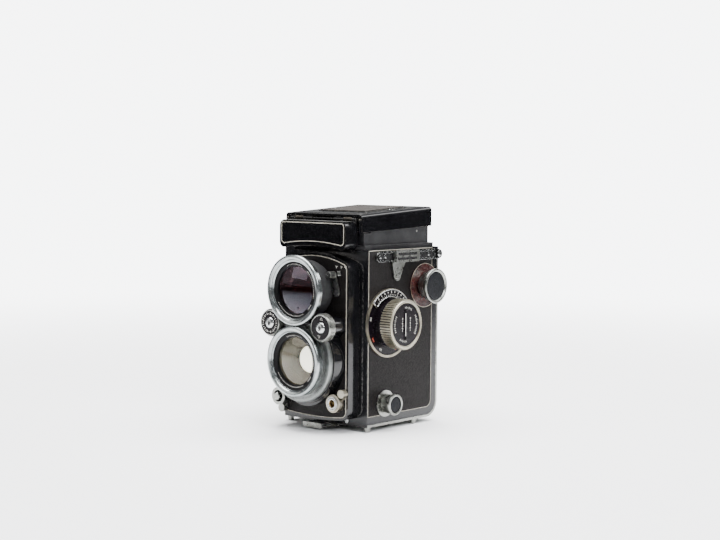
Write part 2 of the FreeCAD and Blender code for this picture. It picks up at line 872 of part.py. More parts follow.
def film_roller(z):
    reach = inner_wall_x - inner_wall - roller_end_gap
    barrel = rod_x(-reach, reach, roller_y, z, roller_r)
    journal = inside_x + journal_depth - 0.1
    return joined([barrel, rod_x(-journal, journal, roller_y, z, journal_r)])


def takeup_spool():
    y = takeup_axis_y
    z = takeup_axis_z
    core = rod_x(-spool_half, spool_half, y, z, spool_core_r)
    ends = [rod_x(side * spool_half - (spool_flange if side > 0 else 0),
                  side * spool_half + (spool_flange if side < 0 else 0), y, z, spool_flange_r)
            for side in (-1, 1)]
    spool = joined([core] + ends)
    socket = rod_x(spool_half - spool_socket, spool_half + 1, y, z, spindle_r + running_gap)
    slot_half = key_width / 2 + running_gap
    slot = box(-spool_half - 1, -spool_half + spool_socket, y - slot_half, y + slot_half,
               z - spindle_r - running_gap, z + spindle_r + running_gap)
    return spool.cut([socket, slot])


def mesh_angle():
    # The direction from the crank's gear to the spool's gear.
    return math.atan2(takeup_axis_z - crank_axis_z, takeup_axis_y - crank_axis_y)


def spool_gear():
    y = takeup_axis_y
    z = takeup_axis_z
    first = mesh_angle() + math.pi + math.pi / spool_teeth
    wheel = gear(spool_teeth, gear_x, gear_x + gear_width, y, z, first)
    shaft = rod_x(gear_x + gear_width, -spool_half - 0.1, y, z, spindle_r)
    key = box(-spool_half - 0.2, -spool_half + spool_socket - 0.5, y - key_width / 2, y + key_width / 2,
              z - spindle_r * 0.9, z + spindle_r * 0.9)
    return joined([wheel, shaft, key])


# ---- Lens board ---------------------------------------------------------------------------

def lens_board():
    outer = board_outline(0, board_y, front_y - board_rear_gap, board_half_width, board_low_z, board_top_z)
    inner = board_outline(board_side_wall, board_y + board_front_wall, front_y, board_half_width,
                          board_low_z, board_top_z)
    tray = outer.cut(inner)
    back_y = board_y + board_front_wall
    pieces = [tray]
    for x, z in guide_places():
        pieces.append(rod_y(back_y - 1, front_y + guide_pin_reach, x, z, guide_pin_r))
    pieces.append(rod_y(front_y - release_bush_front, board_y + 1, release_x, release_z, release_bush_r))
    pieces.append(rod_y(front_y - sync_front + 1.5, board_y + 1, sync_x, sync_z, sync_pin_r))
    board = joined(pieces)
    cuts = [rod_y(board_y - 1, back_y + 1, 0, z, barrel_tail_r) for z in (view_z, take_z)]
    cuts.append(rod_y(front_y - release_bush_front - 1, back_y + 1, release_x, release_z,
                      release_r + running_gap))
    cuts.append(sync_button_shape(running_gap, board_y - 1, back_y + 1))
    return board.cut(cuts)


def sync_button_shape(extra, y_low, y_high):
    half_x = sync_button_width / 2 + extra
    half_z = sync_button_height / 2 + extra
    z = view_z + sync_button_rise
    return box(sync_button_x - half_x, sync_button_x + half_x, y_low, y_high, z - half_z, z + half_z)


def lens_barrel(axis_z):
    # A black tube from the rim to behind the board, stepped inside to seat the glass.
    rim_y = front_y - rim_front
    front = rim_y + rim_bore_length
    shoulder = rim_y + rim_bore_length + glass_seat_depth
    tail_y = board_y + barrel_tail
    mouth_r = barrel_r - 0.6
    neck_y = board_y - barrel_neck
    outline = [(mouth_r, front), (barrel_r, front), (barrel_r, neck_y - 0.6), (barrel_r - 0.6, neck_y),
               (barrel_tail_r, neck_y), (barrel_tail_r, tail_y), (rear_glass_r + running_gap, tail_y),
               (rear_glass_r + running_gap, tail_y - glass_edge - 2),
               (barrel_tail_r - barrel_wall, tail_y - glass_edge - 2),
               (barrel_tail_r - barrel_wall, shoulder + glass_edge + 1),
               (glass_r - 1, shoulder + glass_edge), (glass_r + running_gap, shoulder + glass_edge),
               (glass_r + running_gap, shoulder)]
    return turned_y(outline, 0, axis_z)


def lens_rim(axis_z):
    # The chrome ring round a lens's mouth, with a wider lip in front.
    low_y = front_y - rim_front
    high_y = low_y + rim_length
    lip_y = low_y + rim_lip
    seat_y = low_y + rim_bore_length
    outline = [(filter_seat_r, low_y + 0.4), (filter_seat_r + 0.4, low_y), (rim_r - rim_edge, low_y),
               (rim_r, low_y + rim_edge), (rim_r, lip_y), (rim_r - rim_step, lip_y),
               (rim_r - rim_step, high_y), (barrel_r, high_y), (barrel_r, seat_y), (filter_seat_r, seat_y)]
    return turned_y(outline, 0, axis_z)


def lens_glass(axis_z):
    shoulder = front_y - rim_front + rim_bore_length + glass_seat_depth
    front = lens(0, axis_z, shoulder, glass_r, glass_edge, glass_bulge, 0.8)
    rear_y = board_y + barrel_tail - glass_edge - 1
    rear = lens(0, axis_z, rear_y, rear_glass_r, glass_edge, 0.5, 1.5)
    return Part.makeCompound([front, rear])


def shutter_housing():
    low_y = front_y - housing_front
    lobe_z = take_z - housing_lobe_drop
    pieces = [rod_y(low_y, board_y, 0, take_z, housing_r),
              rod_y(low_y + 3, board_y, 0, lobe_z, housing_lobe_r)]
    post_y = front_y - wheel_front + 2
    for side in (-1, 1):
        stem_y = front_y - wheel_front + wheel_width + moving_gap
        pieces.append(rod_y(stem_y, board_y, side * wheel_x, wheel_z, wheel_stem_r))
        pieces.append(lever_arm(0, take_z, side * wheel_x, wheel_z, wheel_stem_r, wheel_stem_r,
                                low_y + 3, board_y))
        pieces.append(rod_y(post_y, stem_y + 1, side * wheel_x, wheel_z, wheel_post_r))
    bore = rod_y(low_y - 1, board_y + 1, 0, take_z, barrel_r + running_gap)
    bridge_gap = rod_y(low_y - 1, board_y + 1, 0, view_z, barrel_r + running_gap)
    return joined(pieces).cut([bore, bridge_gap])


def scale_ring():
    # The engraved ring round the taking lens, notched to clear the two wheels and the upper barrel.
    low_y = front_y - housing_front
    face_y = low_y - scale_ring_rise
    rim_back_y = front_y - rim_front + rim_length
    outline = [(barrel_r, low_y), (barrel_r, rim_back_y), (rim_r, rim_back_y), (rim_r, face_y),
               (scale_ring_r - 0.8, face_y), (scale_ring_r, face_y + 0.8), (scale_ring_r, low_y)]
    ring = turned_y(outline, 0, take_z)
    cuts = [rod_y(rim_back_y - 1, low_y + 1, 0, view_z, rim_r + moving_gap)]
    for side in (-1, 1):
        cuts.append(rod_y(rim_back_y - 1, low_y + 1, side * wheel_x, wheel_z, wheel_r + moving_gap))
    return ring.cut(cuts)


def dial_wheel(side):
    low_y = front_y - wheel_front
    high_y = low_y + wheel_width
    outline = [(0, low_y - wheel_dome_proud), (wheel_dome_r * 0.6, low_y - wheel_dome_proud * 0.8),
               (wheel_dome_r, low_y), (wheel_face_r, low_y), (wheel_r, low_y + 1.6), (wheel_r, high_y),
               (wheel_post_r + running_gap, high_y), (wheel_post_r + running_gap, low_y + 1.9),
               (0, low_y + 1.9)]
    return turned_y(outline, side * wheel_x, wheel_z)


def release_button():
    low_y = front_y - release_front
    outline = [(0, low_y), (release_r - 0.5, low_y), (release_r, low_y + 0.5),
               (release_r, front_y - release_tail), (0, front_y - release_tail)]
    return turned_y(outline, release_x, release_z)


def lever_arm(x, z, knob_x, knob_z, hub_r, tip_r, y_low, y_high):
    # A flat arm that tapers from a hub to a tip, as a strip tangent to both circles.
    span_x = knob_x - x
    span_z = knob_z - z
    length = math.hypot(span_x, span_z)
    across_x = -span_z / length
    across_z = span_x / length
    outline = [(x + across_x * hub_r, z + across_z * hub_r),
               (knob_x + across_x * tip_r, knob_z + across_z * tip_r),
               (knob_x - across_x * tip_r, knob_z - across_z * tip_r),
               (x - across_x * hub_r, z - across_z * hub_r)]
    return joined([front_plate(outline, y_low, y_high), rod_y(y_low, y_high, x, z, hub_r),
                   rod_y(y_low, y_high, knob_x, knob_z, tip_r)])


def release_lock():
    high_y = board_y - moving_gap
    arm_y = high_y - lever_plate
    knob_x = release_x + release_knob_x
    knob_z = release_z - release_knob_drop
    pieces = [rod_y(front_y - collar_front, high_y, release_x, release_z, collar_r),
              lever_arm(release_x, release_z, knob_x, knob_z, collar_r - 1.5, lever_knob_r - 0.6,
                        arm_y, high_y),
              rod_y(arm_y - 2.2, high_y, knob_x, knob_z, lever_knob_r)]
    return joined(pieces).cut([rod_y(front_y - collar_front - 1, high_y + 1, release_x, release_z,
                                     release_bush_r + running_gap)])


def flash_socket():
    tube = rod_y(front_y - flash_front, board_y, flash_x, flash_z, flash_tube_r)
    mouth_y = front_y - flash_front
    bore = rod_y(mouth_y - 1, mouth_y + flash_bore, flash_x, flash_z, flash_hole_r)
    return tube.cut(bore)


def flash_lock():
    high_y = board_y - moving_gap
    low_y = front_y - flash_front + 1
    arm_y = high_y - lever_plate
    knob_x = flash_x + flash_knob_x
    knob_z = flash_z + flash_knob_rise
    pieces = [rod_y(low_y, high_y, flash_x, flash_z, collar_r),
              lever_arm(flash_x, flash_z, knob_x, knob_z, collar_r - 1.5, lever_knob_r - 0.6,
                        arm_y, high_y),
              rod_y(arm_y - 2.2, high_y, knob_x, knob_z, lever_knob_r)]
    return joined(pieces).cut(rod_y(low_y - 1, high_y + 1, flash_x, flash_z, flash_tube_r + running_gap))


def sync_lever():
    low_y = front_y - sync_front
    high_y = board_y - sync_button_proud - moving_gap
    tip_x = sync_x + sync_arm_x
    tip_z = sync_z - sync_arm_drop
    arm = lever_arm(sync_x, sync_z, tip_x, tip_z, sync_arm_half, sync_tip_r, high_y - 1, high_y)
    post = rod_y(low_y, high_y, sync_x, sync_z, sync_post_r)
    bore = rod_y(low_y + 1.3, high_y + 1, sync_x, sync_z, sync_pin_r + running_gap)
    return joined([arm, post]).cut(bore)


def sync_button():
    return sync_button_shape(0, board_y - sync_button_proud, board_y + board_front_wall + 0.5)


# ---- Right side knobs ---------------------------------------------------------------------

def focus_flange():
    # A fixed ring with an arc-shaped window plate over its top.
    out = half_width + focus_flange_out
    ring = ring_x(half_width, out, focus_axis_y, focus_axis_z, focus_flange_r, focus_flange_r - focus_ring)
    plate = ring_x(out, out + focus_arc, focus_axis_y, focus_axis_z, focus_flange_r, focus_arc_r)
    reach = focus_flange_r * 2
    angle = math.radians(focus_arc_half_angle)
    wedge = side_plate([(focus_axis_y, focus_axis_z),
                        (focus_axis_y - reach * math.sin(angle), focus_axis_z + reach * math.cos(angle)),
                        (focus_axis_y, focus_axis_z + reach),
                        (focus_axis_y + reach * math.sin(angle), focus_axis_z + reach * math.cos(angle))],
                       out - 1, out + focus_arc + 1)
    return joined([ring, plate.common(wedge)])


def distance_disc_plate():
    low_x = half_width + distance_disc_lift
    return ring_x(low_x, low_x + distance_disc, focus_axis_y, focus_axis_z,
                  focus_flange_r - focus_ring - moving_gap, focus_shaft_r)


def focus_knob():
    # The milled drum with its shaft, which carries a cam inside the body.
    low_x = half_width + distance_disc_lift + distance_disc
    high_x = half_width + focus_knob_out
    recess_r = focus_knob_r - focus_rim
    outline = [(0, low_x), (focus_knob_r, low_x), (focus_knob_r, high_x - 1.1), (focus_knob_r - 1.1, high_x),
               (recess_r, high_x), (recess_r, high_x - focus_recess),
               (reminder_post_r + running_gap, high_x - focus_recess),
               (reminder_post_r + running_gap, high_x - focus_recess - 3), (0, high_x - focus_recess - 3)]
    drum = turned_x(outline, focus_axis_y, focus_axis_z)
    cam_x = inside_x - (inner_wall_gap + gear_width) / 2
    shaft = rod_x(cam_x, low_x + 1, focus_axis_y, focus_axis_z, focus_shaft_r)
    cam = rod_x(cam_x, cam_x + gear_width, focus_axis_y + focus_cam_offset, focus_axis_z, focus_cam_r)
    return joined([drum, shaft, cam])


def film_reminder_disc():
    high_x = half_width + focus_knob_out - focus_recess + 0.1 + reminder_disc
    disc_r = focus_knob_r - focus_rim - moving_gap
    disc = rod_x(high_x - reminder_disc, high_x, focus_axis_y, focus_axis_z, disc_r)
    post = rod_x(high_x - reminder_disc - 2.8, high_x, focus_axis_y, focus_axis_z, reminder_post_r)
    grip = box(high_x, high_x + 0.9, focus_axis_y - 0.8, focus_axis_y + 0.8,
               focus_axis_z - disc_r * 0.7, focus_axis_z + disc_r * 0.7)
    return joined([disc, post, grip])


def knob_bushes():
    # The two flanged bushes that guide the pull-out spindles.
    upper_end = half_width + film_dial + moving_gap
    upper = joined([rod_x(inner_wall_x, upper_end, takeup_axis_y, takeup_axis_z, takeup_bush_r),
                    rod_x(inner_wall_x, inside_x, takeup_axis_y, takeup_axis_z, takeup_bush_r + 1.5)])
    lower = joined([rod_x(inner_wall_x, half_width, feed_axis_y, feed_axis_z, feed_bush_r),
                    rod_x(half_width, half_width + feed_flange_out, feed_axis_y, feed_axis_z, feed_flange_r)])
    bore_r = spindle_r + running_gap
    upper = upper.cut(rod_x(inner_wall_x - 1, half_width + 5, takeup_axis_y, takeup_axis_z, bore_r))
    lower = lower.cut(rod_x(inner_wall_x - 1, half_width + 5, feed_axis_y, feed_axis_z, bore_r))
    return Part.makeCompound([upper, lower])


def film_dial_plate():
    return ring_x(half_width + moving_gap / 2, half_width + moving_gap / 2 + film_dial - 0.2, takeup_axis_y,
                  takeup_axis_z, film_dial_r, takeup_bush_r + running_gap)


def pull_knob(y, z, radius, neck_r, out, seat):
    # A milled knob with a recessed face and a spindle that reaches the spool.
    low_x = half_width + seat
    high_x = half_width + out
    outline = [(0, low_x), (neck_r, low_x), (radius, high_x - 2.4), (radius, high_x - 0.5),
               (radius - 0.5, high_x), (radius - 1.3, high_x), (radius - 1.3, high_x - 0.5),
               (0, high_x - 0.5)]
    knob = turned_x(outline, y, z)
    return joined([knob, rod_x(spindle_end_x, low_x + 1, y, z, spindle_r)])


# ---- Winding crank ------------------------------------------------------------------------

def crank_base():
    return ring_x(-half_width - crank_base_out, -half_width, crank_axis_y, crank_axis_z, crank_base_r,
                  crank_shaft_r + running_gap)


def crank_tip():
    return crank_axis_z - crank_arm_length


def crank():
    # Gear, shaft, hub and arm in one; the arm's end is a fork for the handle's pin.
    first = mesh_angle()
    wheel = gear(crank_teeth, gear_x, gear_x + gear_width, crank_axis_y, crank_axis_z, first)
    hub_x = -half_width - crank_base_out - moving_gap
    arm_x = -half_width - crank_hub_out - crank_arm
    shaft = rod_x(hub_x - 1, gear_x + 1, crank_axis_y, crank_axis_z, crank_shaft_r)
    hub = rod_x(-half_width - crank_hub_out, hub_x, crank_axis_y, crank_axis_z, crank_hub_r)
    arm = joined([box(arm_x, arm_x + crank_arm, crank_axis_y - crank_arm_half, crank_axis_y + crank_arm_half,
                      crank_tip(), crank_axis_z),
                  rod_x(arm_x, arm_x + crank_arm, crank_axis_y, crank_axis_z, crank_hub_r * 0.8)])
    slot_half = crank_fork_slot / 2 + moving_gap
    slot = box(arm_x - 1, arm_x + crank_arm + 1, crank_axis_y - slot_half, crank_axis_y + slot_half,
               crank_tip() - 1, crank_tip() + crank_arm + 1.5)
    pin = rod_y(crank_axis_y - crank_arm_half, crank_axis_y + crank_arm_half, arm_x + crank_arm / 2,
                crank_tip() + crank_arm / 2, handle_pin_r)
    return joined([wheel, shaft, hub, arm.cut(slot), pin])


def crank_handle():
    # The grip folds flat against the arm's outer face; its lug turns on the fork's pin.
    pin_x = -half_width - crank_hub_out - crank_arm / 2
    pin_z = crank_tip() + crank_arm / 2
    grip_x = pin_x - crank_arm / 2 - moving_gap - handle_r
    slot_half = crank_fork_slot / 2
    grip = rod_z(pin_z + 1.5, pin_z + 1.5 + handle_length, grip_x, crank_axis_y, handle_r)
    lug = box(grip_x - 1, pin_x, crank_axis_y - slot_half, crank_axis_y + slot_half,
              pin_z - crank_arm / 2, pin_z + crank_arm / 2)
    eye = rod_y(crank_axis_y - slot_half, crank_axis_y + slot_half, pin_x, pin_z, crank_arm / 2)
    stalk = box(grip_x - 1, grip_x + 1, crank_axis_y - slot_half, crank_axis_y + slot_half,
                pin_z - crank_arm / 2, pin_z + 3)
    bore = rod_y(crank_axis_y - 5, crank_axis_y + 5, pin_x, pin_z, handle_pin_r + running_gap)
    return joined([grip, lug, eye, stalk]).cut(bore)


# ---- Strap fittings -----------------------------------------------------------------------

def strap_rail():
    # A chrome channel along the side's top; its rear end is the ear of the back door's hinge.
    low_y = front_y + rail_front
    low_z = hinge_z - rail_half
    high_z = hinge_z + rail_half
    bevel = 2.2
    outline = [(low_y + bevel, low_z), (hinge_y, low_z), (hinge_y, high_z), (low_y + bevel, high_z),
               (low_y, high_z - bevel), (low_y, low_z + bevel)]
    plate = side_plate(outline, half_width, half_width + rail_out)
    ear = rod_x(half_width, half_width + rail_out, hinge_y, hinge_z, rail_rear_r)
    pin = rod_x(half_width - 3, half_width + rail_out, hinge_y, hinge_z, hinge_pin_r)
    inset = box(half_width + rail_out - rail_inset, half_width + rail_out + 1, low_y + bevel,
                rear_y - leather_rear, low_z + rail_rim, high_z - rail_rim)
    return joined([plate, ear, pin]).cut(inset)


def strap_loop():
    # A bridge with two long slots for the strap, and a sprung tongue hanging from it.
    low_x = half_width + rail_out
    high_x = half_width + loop_out
    low_y = front_y + loop_front
    high_y = front_y + loop_rear
    bridge = box(low_x, high_x, low_y, high_y, hinge_z - loop_half, hinge_z + loop_half)
    tunnel = box(low_x - 1, high_x - loop_wall, low_y + 1.5, high_y - 1.5, hinge_z - loop_half + loop_wall,
                 hinge_z + loop_half - loop_wall)
    cuts = [tunnel]
    for offset in (-loop_slot_offset, loop_slot_offset):
        z = hinge_z + offset
        cuts.append(box(low_x - 1, high_x + 1, low_y + 2, high_y - 2.5,
                        z - loop_slot_half, z + loop_slot_half))
    return joined([bridge.cut(cuts), strap_tongue()])


def strap_tongue():
    low_x = half_width + tongue_lift
    high_x = low_x + tongue
    top = hinge_z - rail_half - 0.1
    low_y = front_y + tongue_front
    tip_y = low_y + tongue_width * 0.4
    tip_z = top - tongue_length + tongue_tip_r
    blade = side_plate([(low_y, top), (low_y + tongue_width, top), (tip_y + tongue_tip_r, tip_z),
                        (tip_y - tongue_tip_r, tip_z)], low_x, high_x)
    tip = rod_x(low_x, high_x, tip_y, tip_z, tongue_tip_r)
    riser = box(low_x, half_width + rail_out + tongue, low_y, low_y + tongue_width, top - 0.8, top)
    back = box(half_width + rail_out, half_width + rail_out + tongue, low_y, low_y + tongue_width, top - 0.8,
               hinge_z - loop_half + loop_wall)
    button = rod_x(half_width, high_x + button_out, tip_y, tip_z, button_r)
    return joined([blade, tip, riser, back, button])


def body_screws():
    # Two screws low on the front, and the four screws and rivets of each strap rail.
    screws = []
    for side in (-1, 1):
        screws.append(rod_y(front_y - screw_head, front_y, side * front_screw_x,
                            bottom_z + front_screw_z, screw_r))
    seat = half_width + rail_out - rail_inset
    for y in (rail_front + 4.0, rail_front + 9.0, loop_rear + 3.6, loop_rear + 13.5):
        head = rod_x(seat, seat + screw_head, front_y + y, hinge_z, rail_screw_r)
        screws += [head, mirrored(head)]
    return Part.makeCompound(screws)


# ---- Back door, latch and tripod socket ---------------------------------------------------

def back_outline(y_low, y_high):
    return box(-half_width + back_leather_side, half_width - back_leather_side, y_low, y_high,
               bottom_z + back_leather_foot, top_z - back_leather_head)


def plate_places():
    return [take_z - plate_post_z, take_z + plate_post_z]


def back_door():
    low_y = front_y + door_front_gap + moving_gap
    outer = box(-half_width, half_width, low_y, rear_y, bottom_z, hinge_z)
    corner = edges_along(outer, V(1, 0, 0), lambda middle: middle.z < take_z and middle.y > 0)
    outer = outer.makeFillet(door_corner, corner)
    inner = box(-half_width - 1, half_width + 1, low_y - 20, rear_y - door_wall,
                bottom_z + door_wall, hinge_z + 20)
    corner = edges_along(inner, V(1, 0, 0), lambda middle: middle.z < take_z and middle.y > 0)
    inner = inner.makeFillet(door_corner - door_wall, corner)
    knuckle_half = half_width - moving_gap
    top_cut = box(-half_width - 1, half_width + 1, rear_y - 10, rear_y + 1, hinge_z - 0.1, hinge_z + 1)
    shell = outer.cut([inner, top_cut])
    pieces = [shell, rod_x(-knuckle_half, knuckle_half, hinge_y, hinge_z, knuckle_r)]
    for z in plate_places():
        post_y = film_y + film_gap + plate_thickness + plate_travel + 0.5
        pieces.append(rod_y(post_y, rear_y - door_wall + 0.5, 0, z, plate_post_r))
    for side in (-1, 1):
        x = side * (latch_half + 1.2)
        pieces.append(box(x - 1, x + 1, front_y + latch_pivot_y - 1.2, front_y + latch_pivot_y + 1.2,
                          bottom_z - latch_pivot_drop - 0.9, bottom_z + 0.5))
    door = joined(pieces)
    cuts = [rod_x(-half_width - 1, half_width + 1, hinge_y, hinge_z, hinge_pin_r + running_gap),
            back_outline(rear_y - leather, rear_y + 1),
            rod_z(bottom_z - 1, bottom_z + door_wall + 1, 0, 0, socket_boss_r)]
    door = door.cut(cuts)
    pin = rod_x(-latch_half - 2, latch_half + 2, front_y + latch_pivot_y, bottom_z - latch_pivot_drop,
                latch_pin_r)
    return joined([door, pin])


def pressure_plate():
    low_y = film_y + film_gap
    high_y = low_y + plate_thickness
    plate = box(-plate_side_half, plate_side_half, low_y, high_y, take_z - gate_half - gate_foot,
                take_z + gate_half + plate_head)
    pieces = [plate]
    cuts = []
    for z in plate_places():
        pieces.append(rod_y(high_y - 0.2, high_y + plate_boss, 0, z, plate_boss_r))
        cuts.append(rod_y(high_y + 0.3, high_y + plate_boss + 1, 0, z, plate_post_r + running_gap))
    return joined(pieces).cut(cuts)


def feet():
    shapes = []
    for side in (-1, 1):
        for y in (front_foot_y, rear_foot_y):
            tip = V(side * (half_width - foot_side_inset), front_y + y, bottom_z - foot_height)
            shapes.append(Part.makeCone(foot_r - foot_taper, foot_r, foot_height, tip, V(0, 0, 1)))
    return Part.makeCompound(shapes)


def tripod_socket():
    boss = rod_z(0, bottom_z + door_wall, 0, 0, socket_boss_r)
    flange = rod_z(bottom_z + door_wall, bottom_z + door_wall + 1.4, 0, 0, socket_flange_r)
    cap = rod_z(bottom_z, socket_depth + 1, 0, 0, socket_hole_r + 2)
    return joined([boss, flange, cap]).cut(rod_z(-1, socket_depth, 0, 0, socket_hole_r))


def back_latch():
    # A U-shaped bracket on a pin under the door's front edge; its bar hooks over the body's catch.
    pivot_y = front_y + latch_pivot_y
    pivot_z = bottom_z - latch_pivot_drop
    bar_y = front_y - latch_front
    half_plate = latch_plate / 2
    pieces = []
    for side in (-1, 1):
        low_x = min(side * latch_half, side * (latch_half - latch_arm))
        pieces.append(box(low_x, low_x + latch_arm, bar_y, pivot_y,
                          pivot_z - half_plate, pivot_z + half_plate))
        pieces.append(rod_x(low_x, low_x + latch_arm, pivot_y, pivot_z, latch_plate))
    pieces.append(box(-latch_half, latch_half, bar_y, bar_y + 3, pivot_z - half_plate, pivot_z + half_plate))
    pieces.append(box(-latch_half, latch_half, bar_y, bar_y + latch_hook, pivot_z - latch_plate,
                      bottom_z + latch_hook_rise))
    bore = rod_x(-latch_half - 1, latch_half + 1, pivot_y, pivot_z, latch_pin_r + running_gap)
    return joined(pieces).cut(bore)


def latch_lock():
    high_z = bottom_z - moving_gap
    low_z = high_z - lock_ring
    ring = rod_z(low_z, high_z, 0, 0, lock_ring_r)
    tab = box(-2.5, 2.5, -lock_tab_r, 0, low_z, high_z)
    return joined([ring, tab]).cut(rod_z(low_z - 1, high_z + 1, 0, 0, socket_boss_r + running_gap))


# ---- All nodes ----------------------------------------------------------------------------

nodes = {
    "body_casting": body_casting(),
    "side_leathers": side_leathers(),
    "light_trap_sleeve": light_trap_sleeve(),
    "nameplate_housing": nameplate_housing(),
    "hood_base": hood_base(),
    "hood_hinge_hardware": hood_hinge_hardware(),
    "focusing_screen": focusing_screen(),
    "reflex_mirror": reflex_mirror(),
    "light_cone": light_cone(),
    "film_gate": film_gate(),
    "focus_flange": focus_flange(),
    "strap_rail_right": strap_rail(),
    "strap_rail_left": mirrored(strap_rail()),
    "strap_loop_right": strap_loop(),
    "strap_loop_left": mirrored(strap_loop()),
    "body_screws": body_screws(),
    "knob_bushes": knob_bushes(),
    "crank_base": crank_base(),
    "focus_knob": focus_knob(),
    "distance_disc": distance_disc_plate(),
    "film_reminder_disc": film_reminder_disc(),
    "lens_board": lens_board(),
    "shutter_housing": shutter_housing(),
    "scale_ring": scale_ring(),
    "viewing_barrel": lens_barrel(view_z),
    "taking_barrel": lens_barrel(take_z),
    "viewing_rim": lens_rim(view_z),
    "taking_rim": lens_rim(take_z),
    "viewing_glass": lens_glass(view_z),
    "taking_glass": lens_glass(take_z),
    "flash_socket": flash_socket(),
    "aperture_wheel": dial_wheel(-1),
    "speed_wheel": dial_wheel(1),
    "release_button": release_button(),
    "release_lock": release_lock(),
    "flash_lock": flash_lock(),
    "sync_lever": sync_lever(),
    "sync_button": sync_button(),
    "hood_lid": hood_lid(),
    "finder_panel": finder_panel_plate(),
    "left_flap": side_flap(-1),
    "right_flap": side_flap(1),
    "rear_flap": rear_flap(),
    "magnifier": magnifier_arm(),
    "back_door": back_door(),
    "back_leather": back_outline(rear_y - leather, rear_y),
    "feet": feet(),
    "pressure_plate": pressure_plate(),
    "tripod_socket": tripod_socket(),
    "back_latch": back_latch(),
    "latch_lock": latch_lock(),
    "takeup_knob": pull_knob(takeup_axis_y, takeup_axis_z, takeup_knob_r, takeup_neck_r, takeup_knob_out,
                             film_dial + 2 * moving_gap),
    "feed_knob": pull_knob(feed_axis_y, feed_axis_z, feed_knob_r, feed_knob_r - 1.2, feed_knob_out,
                           feed_flange_out + moving_gap),
    "film_dial": film_dial_plate(),
    "takeup_spool": takeup_spool(),
    "spool_gear": spool_gear(),
    "crank": crank(),
    "crank_handle": crank_handle(),
    "upper_film_roller": film_roller(upper_roller_z),
    "lower_film_roller": film_roller(lower_roller_z),
}

for node, shape in nodes.items():
    save(node, shape)
    print(node, shape.isValid(), len(shape.Solids), round(shape.Volume, 1))
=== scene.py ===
import math

import bmesh
import bpy
from mathutils import Matrix, Vector


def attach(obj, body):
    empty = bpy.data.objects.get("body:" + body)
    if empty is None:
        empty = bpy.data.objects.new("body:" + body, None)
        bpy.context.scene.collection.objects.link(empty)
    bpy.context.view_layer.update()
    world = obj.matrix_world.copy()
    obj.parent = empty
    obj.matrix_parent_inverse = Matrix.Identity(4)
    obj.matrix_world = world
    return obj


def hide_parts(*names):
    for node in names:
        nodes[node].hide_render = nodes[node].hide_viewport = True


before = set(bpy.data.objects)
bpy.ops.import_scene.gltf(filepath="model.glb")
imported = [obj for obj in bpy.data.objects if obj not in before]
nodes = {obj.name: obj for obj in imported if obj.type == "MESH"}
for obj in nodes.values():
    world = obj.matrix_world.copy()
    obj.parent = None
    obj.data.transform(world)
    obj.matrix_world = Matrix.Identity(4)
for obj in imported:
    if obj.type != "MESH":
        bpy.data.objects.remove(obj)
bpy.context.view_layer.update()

mm = 0.001

# places shared by several pieces, in millimetres
bodyRight = 37.5
boardFront = -47.7
viewAxis = 93.05
takeAxis = 46.1


camera = {"place": (668.9, -764.9, 175.05), "yaw": 41.214, "pitch": -4.052, "roll": 0.436, "lens": 74.08,
          "sensor": 36.0}


def makeCamera():
    yaw, pitch, roll = (math.radians(camera[k]) for k in ("yaw", "pitch", "roll"))
    look = Vector((-math.sin(yaw) * math.cos(pitch), math.cos(yaw) * math.cos(pitch), math.sin(pitch)))
    flat = look.cross(Vector((0, 0, 1))).normalized()
    rise = flat.cross(look)
    right = flat * math.cos(roll) + rise * math.sin(roll)
    up = rise * math.cos(roll) - flat * math.sin(roll)
    data = bpy.data.cameras.new("camera")
    data.lens = camera["lens"]
    data.sensor_width = camera["sensor"]
    data.clip_start = 0.05
    data.clip_end = 30.0
    eye = bpy.data.objects.new("camera", data)
    turn = Matrix((right, up, -look)).transposed().to_4x4()
    eye.matrix_world = Matrix.Translation(Vector(camera["place"]) * mm) @ turn
    bpy.context.scene.collection.objects.link(eye)
    bpy.context.scene.camera = eye


studio = {"backdrop": 7.0, "airStrength": 0.32, "airTone": (0.97, 0.985, 1.0), "paperTone": (0.90, 0.90, 0.91),
          "paperFade": (0.26, 1.1), "floorZ": -0.001, "floorRings": (0.3, 1.0, 3.0, 12.0), "floorSides": 64,
          "keyPower": 26.0, "fillPower": 7.0, "topPower": 140.0, "backPower": 12.0}


def onlySeen(tree, strength):
    # a strength that counts where the camera looks straight at the surface
    path = tree.nodes.new("ShaderNodeLightPath")
    scale = tree.nodes.new("ShaderNodeMath")
    scale.operation = "MULTIPLY"
    scale.inputs[1].default_value = strength
    tree.links.new(path.outputs["Is Camera Ray"], scale.inputs[0])
    return scale.outputs[0]


